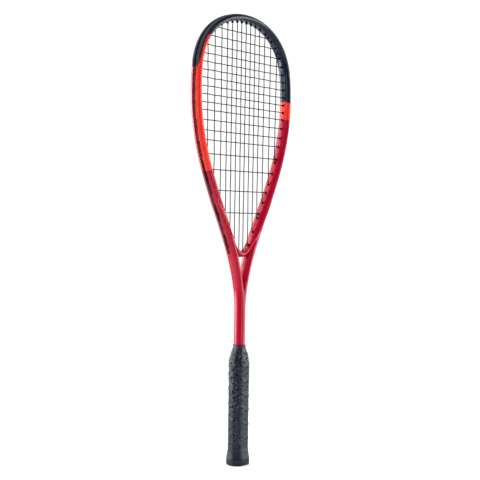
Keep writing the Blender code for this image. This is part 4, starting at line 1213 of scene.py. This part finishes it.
def build_cap():
    """Butt cup: softly rounded heel, parting ledge under the tape, skirt inside."""
    ang = np.linspace(0, 2 * np.pi, 144, endpoint=False)
    hx, hy, ch = (float(v) for v in grip_size(GRIP_BOTTOM_Z))
    heel = [(0.0, -3.4), (0.05, -2.6), (0.25, -1.9), (0.65, -1.2), (1.25, -0.62), (2.1, -0.22),
            (3.2, -0.04), (4.6, 0.0), (9.0, 0.0), (10.0, -0.06), (10.4, -0.28), (10.5, -0.6)]
    rings = []
    for z, grow in heel:
        r = octagon_radius(ang, hx + grow * MM, hy + grow * MM, ch + 0.586 * grow * MM, 20.0)
        rings.append(np.stack([r * np.cos(ang), r * np.sin(ang), np.full(len(ang), z * MM)], -1))
    inner_x, inner_y = 13.5 * MM, 11.2 * MM
    for z, grow in ((10.5, 1.2), (33.6, 1.2), (34.0, 0.9), (34.0, 0.0), (3.0, 0.0)):
        r = octagon_radius(ang, inner_x + grow * MM, inner_y + grow * MM, (6.77 + 0.586 * grow) * MM, 40.0)
        rings.append(np.stack([r * np.cos(ang), r * np.sin(ang), np.full(len(ang), z * MM)], -1))
    soup = Soup()
    soup.rings(rings)
    v, f = soup.all()
    return piece("butt_cup", v, f, CAP_PLASTIC, "butt_cap", sharp=48)


build_cap()


def build_tape():
    """Two turns of vinyl round the foot of the shaft with one lifted end."""
    ang = np.linspace(0, 2 * np.pi, 96, endpoint=False)
    profile = [(177.0, 1.75), (177.3, 1.85), (177.8, 1.55), (178.6, 1.25), (180.0, 1.10), (182.6, 1.02),
               (183.7, 0.98), (184.05, 0.88), (184.2, 0.62), (184.2, 0.22), (177.0, 0.22)]
    start = 2.2
    past = np.mod(ang - start, 2 * np.pi)
    step = 0.14 * np.exp(-past / 1.4)
    rings = []
    for z, grow in profile:
        lift = step if grow > 0.5 else 0 * step
        n, d = oval(SHAFT_TUBE[0] / 2 + (grow + lift) * MM, SHAFT_TUBE[1] / 2 + (grow + lift) * MM, ang)
        slant = 0.25 * np.sin(ang + 0.6) if z > 183 else 0.0 * ang
        rings.append(np.stack([n, d, (z - 0.25 + slant) * MM if z > 183 else np.full(len(ang), z * MM)], -1))
    soup = Soup()
    soup.rings(rings, wrap=True)
    v, f = soup.all()
    return piece("finish_band", v, f, VINYL, "finishing_tape", sharp=45)


build_tape()

for name in ("pallet_front", "pallet_back"):
    NODES[name].data.materials.clear()
    NODES[name].data.materials.append(FOAM)
for name in ("cap_staple_left", "cap_staple_right"):
    NODES[name].data.materials.clear()
    NODES[name].data.materials.append(WIRE)


# =================================================================== studio
def floor_material():
    p = Paint("studio_floor")
    tone = p.noise(3.0, 3.0, 0.5)
    p.set(Base_Color=p.mix(tone, (0.80, 0.80, 0.80), (0.84, 0.84, 0.84)), Roughness=0.9)
    p.set(Specular_IOR_Level=0.1)
    return p.mat


def build_floor():
    me = bpy.data.meshes.new("studio_floor")
    rim = [(0.8 * math.cos(a), 0.8 * math.sin(a), 0.0)
           for a in np.linspace(0, 2 * math.pi, 96, endpoint=False)]
    me.from_pydata(rim, [], [tuple(range(96))])
    me.materials.append(floor_material())
    ob = bpy.data.objects.new("studio_floor", me)
    bpy.context.scene.collection.objects.link(ob)


build_floor()

BACK = Vector((math.sin(CAM_AZIMUTH) * math.cos(CAM_ELEVATION),
               -math.cos(CAM_AZIMUTH) * math.cos(CAM_ELEVATION), math.sin(CAM_ELEVATION)))


def build_camera():
    forward = -BACK
    right = forward.cross(Vector((0, 0, 1))).normalized()
    up = right.cross(forward)
    c, s = math.cos(CAM_ROLL), math.sin(CAM_ROLL)
    r, u = c * right + s * up, -s * right + c * up
    data = bpy.data.cameras.new("camera")
    data.sensor_fit = "HORIZONTAL"
    data.sensor_width = 36.0
    data.lens = FOCAL_PX * 36.0 / 480.0
    data.clip_start, data.clip_end = 0.05, 200.0
    ob = bpy.data.objects.new("camera", data)
    m = Matrix((r, u, BACK)).transposed().to_4x4()
    m.translation = CAM_TARGET + CAM_DISTANCE * BACK
    ob.matrix_world = m
    bpy.context.scene.collection.objects.link(ob)
    bpy.context.scene.camera = ob


build_camera()


def softbox(name, turn, height, distance, width, tall, strength, look=None):
    """Soft card; turn is in degrees from the camera's side, to the right seen from there."""
    a = CAM_AZIMUTH + math.radians(turn)
    place = Vector((math.sin(a) * distance, -math.cos(a) * distance, height))
    data = bpy.data.lights.new(name, "AREA")
    data.shape = "RECTANGLE"
    data.size, data.size_y = width, tall
    data.energy = 15.0 * width * tall * strength
    ob = bpy.data.objects.new(name, data)
    ob.location = place
    aim = Vector((0, 0, height if look is None else look)) - place
    ob.rotation_euler = aim.to_track_quat("-Z", "Y").to_euler()
    bpy.context.scene.collection.objects.link(ob)
    return ob


# two walls of cards, brighter low down, with soft light from above
softbox("left_low", -95, 0.16, 1.10, 0.40, 0.32, 4.30)
softbox("left_middle_back", -115, 0.52, 1.30, 0.47, 0.40, 3.42)
softbox("left_middle_front", -75, 0.52, 1.30, 0.47, 0.40, 1.26)
softbox("left_high", -95, 1.10, 1.60, 0.58, 0.70, 1.50)
softbox("left_high_back", -115, 1.10, 1.60, 0.58, 0.70, 1.50)
softbox("left_over", -100, 1.932, 1.286, 0.90, 0.90, 1.18, 0.4)
softbox("front_middle", -35, 0.52, 1.30, 0.47, 0.40, 1.16)
softbox("front_high", -35, 1.10, 1.60, 0.58, 0.70, 0.54)
softbox("front_low", 45, 0.16, 1.10, 0.40, 0.32, 1.66)
softbox("right_low", 105, 0.16, 1.10, 0.40, 0.32, 2.02)
softbox("right_middle", 105, 0.52, 1.30, 0.47, 0.40, 1.93)
softbox("right_high", 105, 1.10, 1.60, 0.58, 0.70, 3.21)
softbox("right_over", 50, 1.932, 1.286, 0.90, 0.90, 1.19, 0.4)
softbox("back_over", 150, 1.932, 1.286, 0.90, 0.90, 0.60, 0.4)
softbox("ceiling", 0, 2.60, 0.02, 1.60, 1.60, 0.39, 0.0)


def build_world():
    world = bpy.data.worlds.new("studio")
    bpy.context.scene.world = world
    world.use_nodes = True
    tree = world.node_tree
    tree.nodes.clear()
    new = tree.nodes.new
    out, back = new("ShaderNodeOutputWorld"), new("ShaderNodeBackground")
    coord = new("ShaderNodeTexCoord")
    dot = new("ShaderNodeVectorMath")
    dot.operation = "DOT_PRODUCT"
    a = CAM_AZIMUTH + math.pi
    dot.inputs[1].default_value = (math.sin(a), -math.cos(a), 0.0)
    tree.links.new(coord.outputs["Generated"], dot.inputs[0])
    shade = new("ShaderNodeMapRange")
    shade.interpolation_type = "SMOOTHSTEP"
    for key, v in (("From Min", 0.30), ("From Max", 0.75), ("To Min", 0.033), ("To Max", 1.29)):
        shade.inputs[key].default_value = v
    tree.links.new(dot.outputs["Value"], shade.inputs["Value"])
    path = new("ShaderNodeLightPath")
    pick = new("ShaderNodeMix")
    pick.data_type = "FLOAT"
    pick.inputs[3].default_value = 1.05
    tree.links.new(path.outputs["Is Camera Ray"], pick.inputs[0])
    tree.links.new(shade.outputs[0], pick.inputs[2])
    back.inputs["Color"].default_value = (1.0, 1.0, 1.0, 1.0)
    tree.links.new(pick.outputs[0], back.inputs["Strength"])
    tree.links.new(back.outputs[0], out.inputs["Surface"])


build_world()
bpy.context.scene.view_settings.view_transform = "Standard"
bpy.context.scene.view_settings.look = "None"
